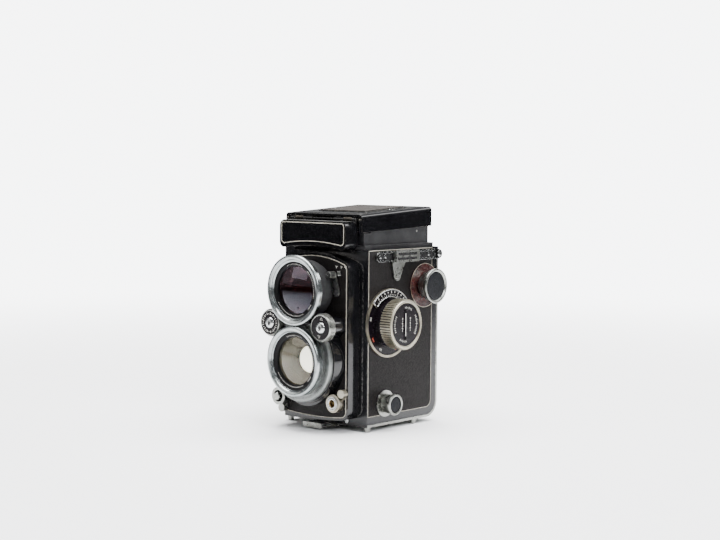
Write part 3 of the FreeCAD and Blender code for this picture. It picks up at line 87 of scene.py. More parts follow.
def makeFloor():
    # a wide round sheet whose far part fades into the backdrop
    rings, sides, z = studio["floorRings"], studio["floorSides"], studio["floorZ"]
    verts = [(0, 0, z)]
    faces = []
    for radius in rings:
        for i in range(sides):
            a = 2 * math.pi * i / sides
            verts.append((radius * math.cos(a), radius * math.sin(a), z))
    for i in range(sides):
        j = (i + 1) % sides
        faces.append((0, 1 + i, 1 + j))
        for k in range(len(rings) - 1):
            low, high = 1 + k * sides, 1 + (k + 1) * sides
            faces.append((low + i, high + i, high + j, low + j))
    mesh = bpy.data.meshes.new("floorSheet")
    mesh.from_pydata(verts, [], faces)
    sheet = bpy.data.objects.new("floorSheet", mesh)
    bpy.context.scene.collection.objects.link(sheet)
    paper = bpy.data.materials.new("studioPaper")
    paper.use_nodes = True
    tree = paper.node_tree
    shader = tree.nodes["Principled BSDF"]
    shader.inputs["Base Color"].default_value = (*studio["paperTone"], 1)
    shader.inputs["Roughness"].default_value = 0.8
    shader.inputs["Specular IOR Level"].default_value = 0.2
    where = tree.nodes.new("ShaderNodeTexCoord")
    far = tree.nodes.new("ShaderNodeVectorMath")
    far.operation = "LENGTH"
    tree.links.new(where.outputs["Object"], far.inputs[0])
    fade = tree.nodes.new("ShaderNodeMapRange")
    fade.interpolation_type = "SMOOTHSTEP"
    fade.inputs["From Min"].default_value = studio["paperFade"][0]
    fade.inputs["From Max"].default_value = studio["paperFade"][1]
    tree.links.new(far.outputs["Value"], fade.inputs["Value"])
    glow = tree.nodes.new("ShaderNodeEmission")
    glow.inputs["Color"].default_value = (*studio["airTone"], 1)
    tree.links.new(onlySeen(tree, studio["backdrop"]), glow.inputs["Strength"])
    mix = tree.nodes.new("ShaderNodeMixShader")
    tree.links.new(fade.outputs["Result"], mix.inputs[0])
    tree.links.new(shader.outputs[0], mix.inputs[1])
    tree.links.new(glow.outputs[0], mix.inputs[2])
    tree.links.new(mix.outputs[0], tree.nodes["Material Output"].inputs["Surface"])
    mesh.materials.append(paper)


def softbox(name, place, aim, size, power, tint=(1, 1, 1)):
    data = bpy.data.lights.new(name, "AREA")
    data.shape = "RECTANGLE"
    data.size, data.size_y = size
    data.energy = power
    data.color = tint
    lamp = bpy.data.objects.new(name, data)
    lamp.location = place
    lamp.rotation_euler = (Vector(aim) - Vector(place)).to_track_quat("-Z", "Y").to_euler()
    bpy.context.scene.collection.objects.link(lamp)


def makeStudio():
    makeFloor()
    # a cool key from the right, a warm fill from the front, a wide top light and one behind
    softbox("keyBox", (1.55, -0.35, 1.15), (0, 0, 0.07), (0.8, 0.8), studio["keyPower"], (0.94, 0.97, 1.0))
    softbox("fillBox", (-1.1, -1.5, 0.8), (0, 0, 0.07), (0.9, 1.0), studio["fillPower"], (1.0, 0.98, 0.95))
    softbox("topBox", (-0.05, 0.15, 1.5), (-0.05, 0.15, 0.0), (1.7, 1.7), studio["topPower"])
    softbox("backBox", (0.9, 1.5, 1.3), (0, 0, 0.1), (0.9, 0.7), studio["backPower"])
    world = bpy.data.worlds.new("studioAir")
    bpy.context.scene.world = world
    world.use_nodes = True
    tree = world.node_tree
    air = tree.nodes["Background"]
    air.inputs["Color"].default_value = (*studio["airTone"], 1)
    whole = tree.nodes.new("ShaderNodeMath")
    whole.operation = "ADD"
    whole.inputs[1].default_value = studio["airStrength"]
    tree.links.new(onlySeen(tree, studio["backdrop"] - studio["airStrength"]), whole.inputs[0])
    tree.links.new(whole.outputs[0], air.inputs["Strength"])


makeCamera()
makeStudio()
print("camera and studio ready")


class Finish:
    # a small helper that adds and joins shader nodes
    def __init__(self, name):
        self.material = bpy.data.materials.new(name)
        self.material.use_nodes = True
        self.tree = self.material.node_tree
        self.shader = self.tree.nodes["Principled BSDF"]
        self.where = self.add("ShaderNodeTexCoord").outputs["Object"]

    def add(self, kind, **settings):
        node = self.tree.nodes.new(kind)
        for key, value in settings.items():
            setattr(node, key, value)
        return node

    def join(self, a, b):
        self.tree.links.new(a, b)

    def noise(self, scale, detail=4.0, rough=0.6):
        node = self.add("ShaderNodeTexNoise")
        node.inputs["Scale"].default_value = scale
        node.inputs["Detail"].default_value = detail
        node.inputs["Roughness"].default_value = rough
        self.join(self.where, node.inputs["Vector"])
        return node.outputs["Fac"]

    def stretched(self, scale, stretch, detail=3.0):
        place = self.add("ShaderNodeMapping")
        place.inputs["Scale"].default_value = stretch
        self.join(self.where, place.inputs["Vector"])
        node = self.add("ShaderNodeTexNoise")
        node.inputs["Scale"].default_value = scale
        node.inputs["Detail"].default_value = detail
        self.join(place.outputs["Vector"], node.inputs["Vector"])
        return node.outputs["Fac"]

    def cells(self, scale, feature="F1"):
        node = self.add("ShaderNodeTexVoronoi", feature=feature)
        node.inputs["Scale"].default_value = scale
        self.join(self.where, node.inputs["Vector"])
        return node.outputs["Distance"]

    def span(self, value, low, high, toLow, toHigh):
        node = self.add("ShaderNodeMapRange")
        node.inputs["From Min"].default_value = low
        node.inputs["From Max"].default_value = high
        node.inputs["To Min"].default_value = toLow
        node.inputs["To Max"].default_value = toHigh
        self.join(value, node.inputs["Value"])
        return node.outputs["Result"]

    def times(self, a, b):
        node = self.add("ShaderNodeMath", operation="MULTIPLY")
        self.join(a, node.inputs[0])
        self.join(b, node.inputs[1])
        return node.outputs[0]

    def plus(self, a, b):
        node = self.add("ShaderNodeMath", operation="ADD")
        self.join(a, node.inputs[0])
        self.join(b, node.inputs[1])
        return node.outputs[0]

    def blend(self, share, first, second):
        node = self.add("ShaderNodeMix", data_type="RGBA")
        self.join(share, node.inputs["Factor"])
        for value, socket in ((first, node.inputs[6]), (second, node.inputs[7])):
            if isinstance(value, tuple):
                socket.default_value = (*value, 1)
            else:
                self.join(value, socket)
        return node.outputs[2]

    def edges(self, radius):
        # 1 where the surface turns sharply, 0 on flats
        soft = self.add("ShaderNodeBevel", samples=3)
        soft.inputs["Radius"].default_value = radius
        plain = self.add("ShaderNodeNewGeometry")
        dot = self.add("ShaderNodeVectorMath", operation="DOT_PRODUCT")
        self.join(soft.outputs["Normal"], dot.inputs[0])
        self.join(plain.outputs["Normal"], dot.inputs[1])
        return self.span(dot.outputs["Value"], 0.995, 0.90, 0.0, 1.0)

    def relief(self, height, distance, strength=1.0, bevel=0.0):
        bump = self.add("ShaderNodeBump")
        bump.inputs["Distance"].default_value = distance
        bump.inputs["Strength"].default_value = strength
        self.join(height, bump.inputs["Height"])
        if bevel:
            soft = self.add("ShaderNodeBevel", samples=3)
            soft.inputs["Radius"].default_value = bevel
            self.join(soft.outputs["Normal"], bump.inputs["Normal"])
        self.join(bump.outputs["Normal"], self.shader.inputs["Normal"])


def metalFinish(name, tone, stain, rough, wear=0.0, grain=2600.0, grainDepth=0.00001, bevel=0.00018,
                brushed=None):
    f = Finish(name)
    f.shader.inputs["Metallic"].default_value = 1.0
    patches = f.span(f.noise(140.0, 6.0, 0.65), 0.42, 0.72, 0.0, 1.0)
    colour = f.blend(patches, tone, stain)
    if wear:
        worn = f.times(f.edges(bevel * 2.5), f.span(f.noise(500.0), 0.35, 0.6, 0.0, wear))
        colour = f.blend(worn, colour, tuple(min(1.0, c * 1.25 + 0.05) for c in tone))
    f.join(colour, f.shader.inputs["Base Color"])
    smears = f.noise(260.0, 5.0)
    f.join(f.span(smears, 0.3, 0.75, rough[0], rough[1]), f.shader.inputs["Roughness"])
    if brushed:
        fine = f.stretched(grain, brushed)
    else:
        fine = f.noise(grain, 2.0)
    f.relief(fine, grainDepth, 0.6, bevel)
    return f.material


def paintFinish(name, tone, under, rough, wear, grainDepth=0.000012, bevel=0.00025, dust=0.03, shine=0.42):
    # enamel that shows its metal where the edges are rubbed
    f = Finish(name)
    f.shader.inputs["Specular IOR Level"].default_value = shine
    drift = f.span(f.noise(60.0, 5.0), 0.35, 0.7, 0.0, 1.0)
    lifted = tuple(c + dust for c in tone)
    colour = f.blend(drift, tone, lifted)
    rubbed = f.times(f.edges(bevel * 2.2), f.span(f.noise(420.0, 5.0, 0.7), 0.47, 0.6, 0.0, wear))
    colour = f.blend(rubbed, colour, under)
    f.join(colour, f.shader.inputs["Base Color"])
    f.join(f.span(rubbed, 0.0, 1.0, 0.0, 0.9), f.shader.inputs["Metallic"])
    scuffs = f.plus(f.span(f.noise(320.0, 6.0), 0.4, 0.8, rough[0], rough[1]),
                    f.span(f.stretched(900.0, (1.0, 0.05, 1.0)), 0.62, 0.75, 0.0, 0.12))
    f.join(scuffs, f.shader.inputs["Roughness"])
    f.relief(f.noise(1500.0, 3.0), grainDepth, 0.5, bevel)
    return f.material


def leatherFinish(name, tone, high, cell, depth, rough=(0.42, 0.6), faded=None):
    f = Finish(name)
    f.shader.inputs["Specular IOR Level"].default_value = 0.14
    # pebble tops take the lighter tone and the gaps between them the dark tone: painted shade in the creases
    pebbles = f.span(f.cells(cell, "SMOOTH_F1"), 0.0, 0.7, 1.0, 0.0)
    creases = f.noise(cell * 1.6, 4.0, 0.7)
    height = f.plus(pebbles, f.span(creases, 0.3, 0.7, -0.3, 0.3))
    paintedCreaseShade = f.blend(f.span(height, 0.1, 1.1, 0.0, 1.0), tone, high)
    patch = f.span(f.noise(70.0, 5.0), 0.5, 0.75, 0.0, 0.55)
    colour = f.blend(patch, paintedCreaseShade, faded or tuple(c * 1.6 + 0.004 for c in tone))
    f.join(colour, f.shader.inputs["Base Color"])
    f.join(f.span(height, 0.0, 1.2, rough[1], rough[0]), f.shader.inputs["Roughness"])
    f.relief(height, depth, 0.8)
    return f.material


def deepFinish(name, tone, reflectedRingTone, centre, pitch, rough, glow=0.0):
    # inside of a lens: rings of two tones round its axis, painted as the reflections of the lens's inner rings
    f = Finish(name)
    place = f.add("ShaderNodeMapping")
    place.inputs["Location"].default_value = tuple(-c for c in centre)
    place.inputs["Scale"].default_value = (1.0, 0.6, 1.0)
    f.join(f.where, place.inputs["Vector"])
    far = f.add("ShaderNodeVectorMath", operation="LENGTH")
    f.join(place.outputs["Vector"], far.inputs[0])
    wave = f.add("ShaderNodeMath", operation="SINE")
    scaled = f.add("ShaderNodeMath", operation="MULTIPLY")
    scaled.inputs[1].default_value = 2 * math.pi / pitch
    f.join(far.outputs["Value"], scaled.inputs[0])
    f.join(scaled.outputs[0], wave.inputs[0])
    share = f.plus(f.span(wave.outputs[0], -1.0, 1.0, 0.1, 0.8),
                   f.span(f.noise(120.0, 4.0), 0.3, 0.7, -0.15, 0.2))
    colour = f.blend(share, tone, reflectedRingTone)
    f.join(colour, f.shader.inputs["Base Color"])
    # painted glow: the lens inside gives off its own ring colours as light
    if glow:
        f.join(colour, f.shader.inputs["Emission Color"])
        f.shader.inputs["Emission Strength"].default_value = glow
    f.join(f.span(f.noise(300.0), 0.3, 0.7, rough[0], rough[1]), f.shader.inputs["Roughness"])
    f.relief(f.noise(900.0), 0.00001, 0.3)
    return f.material


def glassFinish(name, tint, coat, rough=0.0):
    f = Finish(name)
    veil = f.blend(f.span(f.noise(60.0, 3.0), 0.35, 0.7, 0.0, 1.0), tint, tuple(c * 0.9 for c in tint))
    f.join(veil, f.shader.inputs["Base Color"])
    f.join(f.span(f.noise(500.0), 0.55, 0.9, rough, rough + 0.03), f.shader.inputs["Roughness"])
    f.shader.inputs["Transmission Weight"].default_value = 1.0
    f.shader.inputs["IOR"].default_value = 1.42
    f.shader.inputs["Specular Tint"].default_value = (*coat, 1)
    f.shader.inputs["Specular IOR Level"].default_value = 0.75
    f.relief(f.noise(40.0, 1.0), 0.000002, 0.2)
    return f.material


def fillFinish(name, tone, low, rough=0.4, paintedGlow=0.0):
    # paint let into engraved marks, and other plain fine surfaces; paintedGlow makes a part glow as painted light
    f = Finish(name)
    colour = f.blend(f.span(f.noise(700.0, 5.0), 0.4, 0.7, 0.0, 1.0), tone, low)
    f.join(colour, f.shader.inputs["Base Color"])
    f.join(f.span(f.noise(900.0), 0.3, 0.7, rough, rough + 0.2), f.shader.inputs["Roughness"])
    if paintedGlow:
        f.shader.inputs["Emission Color"].default_value = (1, 1, 0.98, 1)
        f.shader.inputs["Emission Strength"].default_value = paintedGlow
    f.relief(f.noise(2400.0), 0.000008, 0.4)
    return f.material


def dialRedFinish():
    # red-brown dial with darker cloudy patches
    f = Finish("dialRed")
    f.shader.inputs["Specular IOR Level"].default_value = 0.6
    f.shader.inputs["Coat Weight"].default_value = 0.5
    f.shader.inputs["Coat Roughness"].default_value = 0.08
    clouds = f.noise(110.0, 5.0, 0.6)
    colour = f.blend(f.span(clouds, 0.35, 0.7, 0.0, 1.0), (0.016, 0.003, 0.003), (0.055, 0.011, 0.009))
    f.join(colour, f.shader.inputs["Base Color"])
    f.join(f.span(f.noise(500.0), 0.3, 0.8, 0.16, 0.36), f.shader.inputs["Roughness"])
    f.relief(f.noise(1800.0), 0.00001, 0.4, 0.0002)
    return f.material


finishes = {
    "enamel": paintFinish("blackEnamel", (0.0025, 0.0025, 0.0032), (0.22, 0.20, 0.17), (0.08, 0.2), 0.5,
                          dust=0.002),
    "satinBlack": paintFinish("satinBlack", (0.005, 0.005, 0.0055), (0.2, 0.19, 0.17), (0.25, 0.42), 0.4,
                              dust=0.004),
    "casting": paintFinish("castingBlack", (0.003, 0.003, 0.004), (0.26, 0.25, 0.23), (0.12, 0.3), 0.6,
                           dust=0.003),
    "crackle": paintFinish("crackleBlack", (0.008, 0.008, 0.009), (0.12, 0.12, 0.12), (0.35, 0.55), 0.3,
                           grainDepth=0.0001, dust=0.02),
    "matt": paintFinish("mattBlack", (0.004, 0.004, 0.0045), (0.05, 0.05, 0.05), (0.6, 0.85), 0.2, dust=0.005),
    "dial": paintFinish("dialBlack", (0.003, 0.0018, 0.003), (0.10, 0.10, 0.10), (0.2, 0.36), 0.3, dust=0.0015,
                        shine=0.16),
    "chrome": metalFinish("brightChrome", (0.50, 0.51, 0.51), (0.34, 0.35, 0.34), (0.08, 0.2), 0.5),
    "rimChrome": metalFinish("rimChrome", (0.36, 0.385, 0.385), (0.20, 0.22, 0.22), (0.14, 0.3), 0.7),
    "satin": metalFinish("satinChrome", (0.30, 0.305, 0.285), (0.19, 0.19, 0.17), (0.22, 0.4), 0.6),
    "nickel": metalFinish("agedNickel", (0.34, 0.315, 0.26), (0.19, 0.165, 0.12), (0.26, 0.48), 0.8),
    "cream": metalFinish("creamNickel", (0.46, 0.43, 0.35), (0.27, 0.235, 0.165), (0.28, 0.46), 0.6),
    "steel": metalFinish("plainSteel", (0.26, 0.26, 0.25), (0.15, 0.14, 0.125), (0.28, 0.48), 0.4,
                         brushed=(1.0, 0.05, 1.0)),
    "bronze": metalFinish("darkBronze", (0.06, 0.052, 0.042), (0.03, 0.026, 0.02), (0.3, 0.5), 0.5),
    "brass": metalFinish("plainBrass", (0.30, 0.21, 0.09), (0.18, 0.12, 0.06), (0.25, 0.45), 0.5),
    "aluminium": metalFinish("plainAluminium", (0.42, 0.43, 0.42), (0.30, 0.30, 0.29), (0.3, 0.48), 0.4),
    "engraved": metalFinish("engravedSilver", (0.20, 0.21, 0.205), (0.10, 0.105, 0.10), (0.3, 0.5), 0.7),
    "leather": leatherFinish("bodyLeather", (0.0022, 0.0016, 0.0016), (0.0085, 0.0066, 0.0064), 1150.0,
                             0.00012),
    "greyLeather": leatherFinish("panelLeather", (0.018, 0.0155, 0.014), (0.06, 0.052, 0.046), 900.0, 0.00015,
                                 faded=(0.07, 0.06, 0.053)),
    "knobLeather": leatherFinish("knobLeather", (0.0025, 0.0027, 0.0035), (0.010, 0.011, 0.014), 1300.0,
                                 0.0001),
    "whiteFill": fillFinish("whiteFill", (0.72, 0.71, 0.66), (0.5, 0.49, 0.44)),
    "paleLine": fillFinish("paleLine", (0.33, 0.31, 0.26), (0.17, 0.155, 0.125), 0.3),
    "redFill": fillFinish("redFill", (0.5, 0.08, 0.04), (0.34, 0.06, 0.04)),
    "blackFill": fillFinish("blackFill", (0.015, 0.015, 0.016), (0.03, 0.03, 0.03)),
    # shutter blades that glow: painted light inside the taking lens
    "blade": fillFinish("bladeWithPaintedGlow", (0.86, 0.87, 0.86), (0.7, 0.71, 0.7), 0.35, 3.0),
    "dialRed": dialRedFinish(),
    "screen": fillFinish("groundGlass", (0.6, 0.62, 0.62), (0.5, 0.52, 0.52), 0.5),
    "mirror": metalFinish("silvered", (0.9, 0.92, 0.93), (0.86, 0.88, 0.9), (0.01, 0.04), 0.0,
                          grainDepth=0.000001),
    "viewGlass": glassFinish("viewGlass", (0.80, 0.62, 0.66), (0.72, 0.78, 1.0)),
    "takeGlass": glassFinish("takeGlass", (0.92, 0.90, 0.78), (1.0, 0.92, 0.78)),
    # lens insides: a dark tone and lighter rings as painted reflection, with a painted glow
    "viewDeep": deepFinish("viewDeep", (0.004, 0.0025, 0.003), (0.030, 0.016, 0.016),
                           (0.0, -0.052, viewAxis * mm), 0.0060, (0.12, 0.3), 0.1),
    "takeDeep": deepFinish("takeDeep", (0.004, 0.0034, 0.002), (0.028, 0.0225, 0.013),
                           (0.0, -0.052, takeAxis * mm), 0.0034, (0.1, 0.3), 0.3),
    "viewingInner": deepFinish("viewingInner", (0.004, 0.002, 0.003), (0.036, 0.016, 0.013),
                               (0.004, -0.056, viewAxis * mm - 0.006), 0.016, (0.02, 0.08), 0.12),
    # the nameplate's top face: grey as painted sheen, with rubbed edges
    "wornTopPaintedSheen": paintFinish("wornTopPaintedSheen", (0.02, 0.02, 0.019), (0.2, 0.19, 0.17), (0.3, 0.5), 0.5, dust=0.05),
    "throat": paintFinish("throatBlack", (0.002, 0.002, 0.0024), (0.02, 0.02, 0.02), (0.3, 0.5), 0.1,
                          dust=0.001, shine=0.1),
}
print("materials ready")

# the finish of each node, by the node's name
carried = {
    "casting": ("body_casting",),
    "enamel": ("nameplate_housing", "lens_board", "shutter_housing", "hood_lid"),
    "satinBlack": ("light_trap_sleeve", "hood_hinge_hardware", "left_flap", "right_flap", "rear_flap", "magnifier"),
    "crackle": ("hood_base",),
    "matt": ("light_cone", "viewing_barrel", "taking_barrel", "pressure_plate", "takeup_spool"),
    "dial": ("distance_disc", "film_reminder_disc", "aperture_wheel", "speed_wheel"),
    "dialRed": ("film_dial",),
    "screen": ("focusing_screen",),
    "mirror": ("reflex_mirror",),
    "viewGlass": ("viewing_glass",),
    "takeGlass": ("taking_glass",),
    "leather": ("back_leather", "side_leathers"),
    "greyLeather": ("finder_panel",),
    "chrome": ("strap_rail_right", "strap_rail_left", "body_screws", "flash_socket", "sync_button"),
    "rimChrome": ("viewing_rim", "taking_rim"),
    "satin": ("strap_loop_right", "strap_loop_left", "knob_bushes", "crank_base", "release_button", "release_lock",
              "sync_lever", "back_door", "feet", "back_latch", "latch_lock", "crank", "takeup_knob", "feed_knob"),
    "nickel": ("focus_flange", "flash_lock", "crank_handle", "focus_knob"),
    "steel": ("spool_gear", "upper_film_roller", "lower_film_roller"),
    "aluminium": ("film_gate",),
    "brass": ("tripod_socket",),
    "engraved": ("scale_ring",),
}
for finishName, nodeNames in carried.items():
    for node in (nodes[name] for name in nodeNames):
        if not node.material_slots:
            node.data.materials.append(finishes[finishName])
        for each in node.material_slots:
            each.material = finishes[finishName]


boardBody = "lens_board_body"


def smoothByAngle(mesh, degrees):
    # edges sharper than the angle stay sharp, the rest is smooth
    work = bmesh.new()
    work.from_mesh(mesh)
    limit = math.radians(degrees)
    for face in work.faces:
        face.smooth = True
    for edge in work.edges:
        edge.smooth = len(edge.link_faces) != 2 or edge.calc_face_angle(0.0) < limit
    work.to_mesh(mesh)
    work.free()


def addPiece(name, mesh, finish, body, crease=None, stands=()):
    mesh.name = name
    mesh.materials.clear()
    mesh.materials.append(finishes[finish])
    piece = bpy.data.objects.new(name, mesh)
    bpy.context.scene.collection.objects.link(piece)
    if stands:
        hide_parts(*stands)
    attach(piece, body)
    if crease:
        smoothByAngle(piece.data, crease)


def turnTo(origin, axis, start=(0, 0, 1)):
    # a matrix that takes local Z to an axis and local X to a start direction, at a place in millimetres
    z = Vector(axis).normalized()
    x = Vector(start) - z * Vector(start).dot(z)
    x.normalize()
    turn = Matrix((x, z.cross(x), z)).transposed().to_4x4()
    return Matrix.Translation(Vector(origin) * mm) @ turn


def faceOut(mesh):
    work = bmesh.new()
    work.from_mesh(mesh)
    bmesh.ops.remove_doubles(work, verts=work.verts, dist=1e-7)
    bmesh.ops.recalc_face_normals(work, faces=work.faces)
    work.to_mesh(mesh)
    work.free()


def revolved(points, place, steps=96):
    # a closed ring or disc turned from (radius, height) points, in millimetres
    axisReach = 0.001  # points nearer than this lie on the axis
    closed = points[0][0] > axisReach and points[-1][0] > axisReach
    rings, verts, faces = [], [], []
    for radius, height in points:
        if radius < axisReach:
            verts.append((0, 0, height * mm))
            rings.append([len(verts) - 1] * steps)
            continue
        ring = []
        for i in range(steps):
            a = 2 * math.pi * i / steps
            verts.append((radius * mm * math.cos(a), radius * mm * math.sin(a), height * mm))
            ring.append(len(verts) - 1)
        rings.append(ring)
    pairs = list(zip(rings, rings[1:]))
    if closed:
        pairs.append((rings[-1], rings[0]))
    for low, high in pairs:
        for i in range(steps):
            j = (i + 1) % steps
            corner = []
            for v in (low[i], low[j], high[j], high[i]):
                if v not in corner:
                    corner.append(v)
            if len(corner) > 2:
                faces.append(corner)
    mesh = bpy.data.meshes.new("turned")
    mesh.from_pydata(verts, [], faces)
    faceOut(mesh)
    mesh.transform(place)
    return mesh


def plateMesh(outline, thickness, edge=0.0):
    # a flat plate from a closed outline of places in millimetres; thickness is a vector
    work = bmesh.new()
    face = work.faces.new([work.verts.new(Vector(p) * mm) for p in outline])
    grown = bmesh.ops.extrude_face_region(work, geom=[face])
    moved = [g for g in grown["geom"] if isinstance(g, bmesh.types.BMVert)]
    bmesh.ops.translate(work, verts=moved, vec=Vector(thickness) * mm)
    bmesh.ops.recalc_face_normals(work, faces=work.faces)
    if edge:
        rims = [e for e in work.edges if e.calc_face_angle(0.0) > 1.0]
        bmesh.ops.bevel(work, geom=rims, offset=edge * mm, segments=2, affect="EDGES")
    mesh = bpy.data.meshes.new("plate")
    work.to_mesh(mesh)
    work.free()
    return mesh


def wireMesh(points, radius, closed=True):
    # a round bar along points in millimetres, made with a curve and turned into a mesh
    data = bpy.data.curves.new("wire", "CURVE")
    data.dimensions = "3D"
    data.bevel_depth = radius * mm
    data.bevel_resolution = 2
    data.use_fill_caps = True
    line = data.splines.new("POLY")
    line.points.add(len(points) - 1)
    for point, place in zip(line.points, points):
        point.co = (*(Vector(place) * mm), 1)
    line.use_cyclic_u = closed
    holder = bpy.data.objects.new("wire", data)
    bpy.context.scene.collection.objects.link(holder)
    bpy.context.view_layer.update()
    mesh = bpy.data.meshes.new_from_object(holder)
    bpy.data.objects.remove(holder)
    faceOut(mesh)
    mesh.shade_smooth()
    return mesh


def joinMeshes(meshes):
    work = bmesh.new()
    for mesh in meshes:
        work.from_mesh(mesh)
    joined = bpy.data.meshes.new("joined")
    work.to_mesh(joined)
    work.free()
    return joined


def archedOutline(half, low, high, archRadius, bowRadius, corner, steps=160):
    # straight sides, an arched top and a bowed foot, as (x, z) points
    half, low, high = half - corner, low + corner, high - corner
    archRadius, bowRadius = archRadius - corner, bowRadius - corner
    inner = []
    for i in range(121):
        x = -half + 2 * half * i / 120
        inner.append((x, high - archRadius + math.sqrt(archRadius ** 2 - x * x)))
        inner.append((x, low + bowRadius - math.sqrt(bowRadius ** 2 - x * x)))
    outline = []
    for i in range(steps):
        a = 2 * math.pi * i / steps
        n = (math.cos(a), math.sin(a))
        best = max(inner, key=lambda p: p[0] * n[0] + p[1] * n[1])
        outline.append((best[0] + corner * n[0], best[1] + corner * n[1]))
    # the arched top and bowed foot turn slowly, so more points are put in along them
    longestGap, spacing = 1.5, 1.2
    full = []
    for i, here in enumerate(outline):
        full.append(here)
        there = outline[(i + 1) % steps]
        gap = abs(there[0] - here[0])
        parts = int(gap / spacing) + 1 if gap > longestGap else 1
        for k in range(1, parts):
            x = here[0] + (there[0] - here[0]) * k / parts
            if here[1] > (low + high) / 2:
                z = high - archRadius + math.sqrt((archRadius + corner) ** 2 - x * x)
            else:
                z = low + bowRadius - math.sqrt((bowRadius + corner) ** 2 - x * x)
            full.append((x, z))
    return full


def roundedBox(low, high, corners, steps=8):
    # a rounded rectangle as (a, b) points; corners gives the radius at (low low, high low, high high, low high)
    places = [(low[0], low[1], 180), (high[0], low[1], 270), (high[0], high[1], 0), (low[0], high[1], 90)]
    points = []
    for (a, b, start), radius in zip(places, corners):
        signA = 1 if a == low[0] else -1
        signB = 1 if b == low[1] else -1
        for i in range(steps + 1):
            angle = math.radians(start + 90 * i / steps)
            points.append((a + signA * radius + radius * math.cos(angle),
                           b + signB * radius + radius * math.sin(angle)))
    return points


def ringTree():
    # a tree that sets bars on a ring: ridges, ticks, slots and teeth
    tree = bpy.data.node_groups.new("barsOnRing", "GeometryNodeTree")
    face = tree.interface
    face.new_socket(name="Geometry", in_out="OUTPUT", socket_type="NodeSocketGeometry")
    sockets = {}
    kinds = {"Count": "Int", "Ring radius": "Float", "Start angle": "Float", "Sweep angle": "Float",
             "Radial size": "Float", "Width": "Float", "Height": "Float", "Tilt": "Float", "Long every": "Int",
             "Short share": "Float", "Finish": "Material"}
    for label, kind in kinds.items():
        made = face.new_socket(name=label, in_out="INPUT", socket_type="NodeSocket" + kind)
        sockets[label] = made.identifier
    make = tree.nodes.new
    link = tree.links.new
    given = make("NodeGroupInput").outputs

    def calc(operation, *values):
        node = make("ShaderNodeMath")
        node.operation = operation
        for socket, value in zip(node.inputs, values):
            if isinstance(value, (int, float)):
                socket.default_value = value
            else:
                link(value, socket)
        return node.outputs[0]

    def vector(*values):
        node = make("ShaderNodeCombineXYZ")
        for socket, value in zip(node.inputs, values):
            if isinstance(value, (int, float)):
                socket.default_value = value
            else:
                link(value, socket)
        return node.outputs[0]

    dots = make("GeometryNodePoints")
    link(given["Count"], dots.inputs["Count"])
    index = make("GeometryNodeInputIndex").outputs[0]
    share = calc("DIVIDE", calc("MULTIPLY", given["Sweep angle"], index), given["Count"])
    angle = calc("ADD", given["Start angle"], share)
    put = make("GeometryNodeSetPosition")
    link(dots.outputs[0], put.inputs["Geometry"])
    link(vector(calc("MULTIPLY", given["Ring radius"], calc("COSINE", angle)),
                calc("MULTIPLY", given["Ring radius"], calc("SINE", angle)), 0.0), put.inputs["Position"])
    bar = make("GeometryNodeMeshCube")
    link(vector(given["Radial size"], given["Width"], given["Height"]), bar.inputs["Size"])
    copies = make("GeometryNodeInstanceOnPoints")
    link(put.outputs[0], copies.inputs["Points"])
    link(bar.outputs["Mesh"], copies.inputs["Instance"])
    link(vector(0.0, given["Tilt"], angle), copies.inputs["Rotation"])
    isShort = calc("GREATER_THAN", calc("MODULO", index, given["Long every"]), 0.5)
    cut = calc("MULTIPLY", isShort, calc("SUBTRACT", 1.0, given["Short share"]))
    link(vector(calc("SUBTRACT", 1.0, cut), 1.0, 1.0), copies.inputs["Scale"])
    real = make("GeometryNodeRealizeInstances")
    link(copies.outputs[0], real.inputs[0])
    colour = make("GeometryNodeSetMaterial")
    link(real.outputs[0], colour.inputs["Geometry"])
    link(given["Finish"], colour.inputs["Material"])
    link(colour.outputs[0], make("NodeGroupOutput").inputs[0])
    return tree, sockets


barTree, barSockets = ringTree()


def bars(place, finish, count, radius, size, start=0.0, sweep=2 * math.pi, shift=(0, 0, 0), tilt=0.0, every=1,
         short=1.0):
    # runs the tree once; size is radial, across and along the axis, in millimetres, and angles are radians
    holder = bpy.data.objects.new("barHolder", bpy.data.meshes.new("barHolder"))
    bpy.context.scene.collection.objects.link(holder)
    holder.data.materials.append(finishes[finish])
    step = holder.modifiers.new("bars", "NODES")
    step.node_group = barTree
    values = {"Count": count, "Ring radius": radius * mm, "Start angle": start, "Sweep angle": sweep,
              "Radial size": size[0] * mm, "Width": size[1] * mm, "Height": size[2] * mm, "Tilt": tilt,
              "Long every": every, "Short share": short, "Finish": finishes[finish]}
    for label, value in values.items():
        step[barSockets[label]] = value
    bpy.context.view_layer.update()
    ready = holder.evaluated_get(bpy.context.evaluated_depsgraph_get())
    mesh = bpy.data.meshes.new_from_object(ready)
    holder.modifiers.clear()
    bpy.data.objects.remove(holder)
    mesh.transform(place @ Matrix.Translation(Vector(shift) * mm))
    return mesh


def barArcs(place, finish, arcs, radius, size, **more):
    # arcs of bars joined in one mesh, each arc given as (start, sweep, count) in degrees
    parts = []
    for start, sweep, count in arcs:
        parts.append(bars(place, finish, count, radius, size, math.radians(start), math.radians(sweep), **more))
    return joinMeshes(parts)


sidePanel = {"frontY": -35.5, "rearY": 31.1, "lowZ": 9.1, "highZ": 119.3, "corner": 0.4, "rearCorner": 5.0,
             "line": 0.28, "inset": 0.35, "sunk": 0.12}


def sideTrim(side, label):
    p = sidePanel
    low = (p["frontY"] + p["inset"], p["lowZ"] + p["inset"])
    high = (p["rearY"] - p["inset"], p["highZ"] - p["inset"])
    loop = roundedBox(low, high, (p["corner"], p["rearCorner"], p["corner"], p["corner"]))
    x = side * (bodyRight - p["sunk"])
    addPiece("sideOutline" + label, wireMesh([(x, y, z) for y, z in loop], p["line"]), "paleLine", "camera")


sideTrim(1, "Right")
sideTrim(-1, "Left")
print("side panels ready")


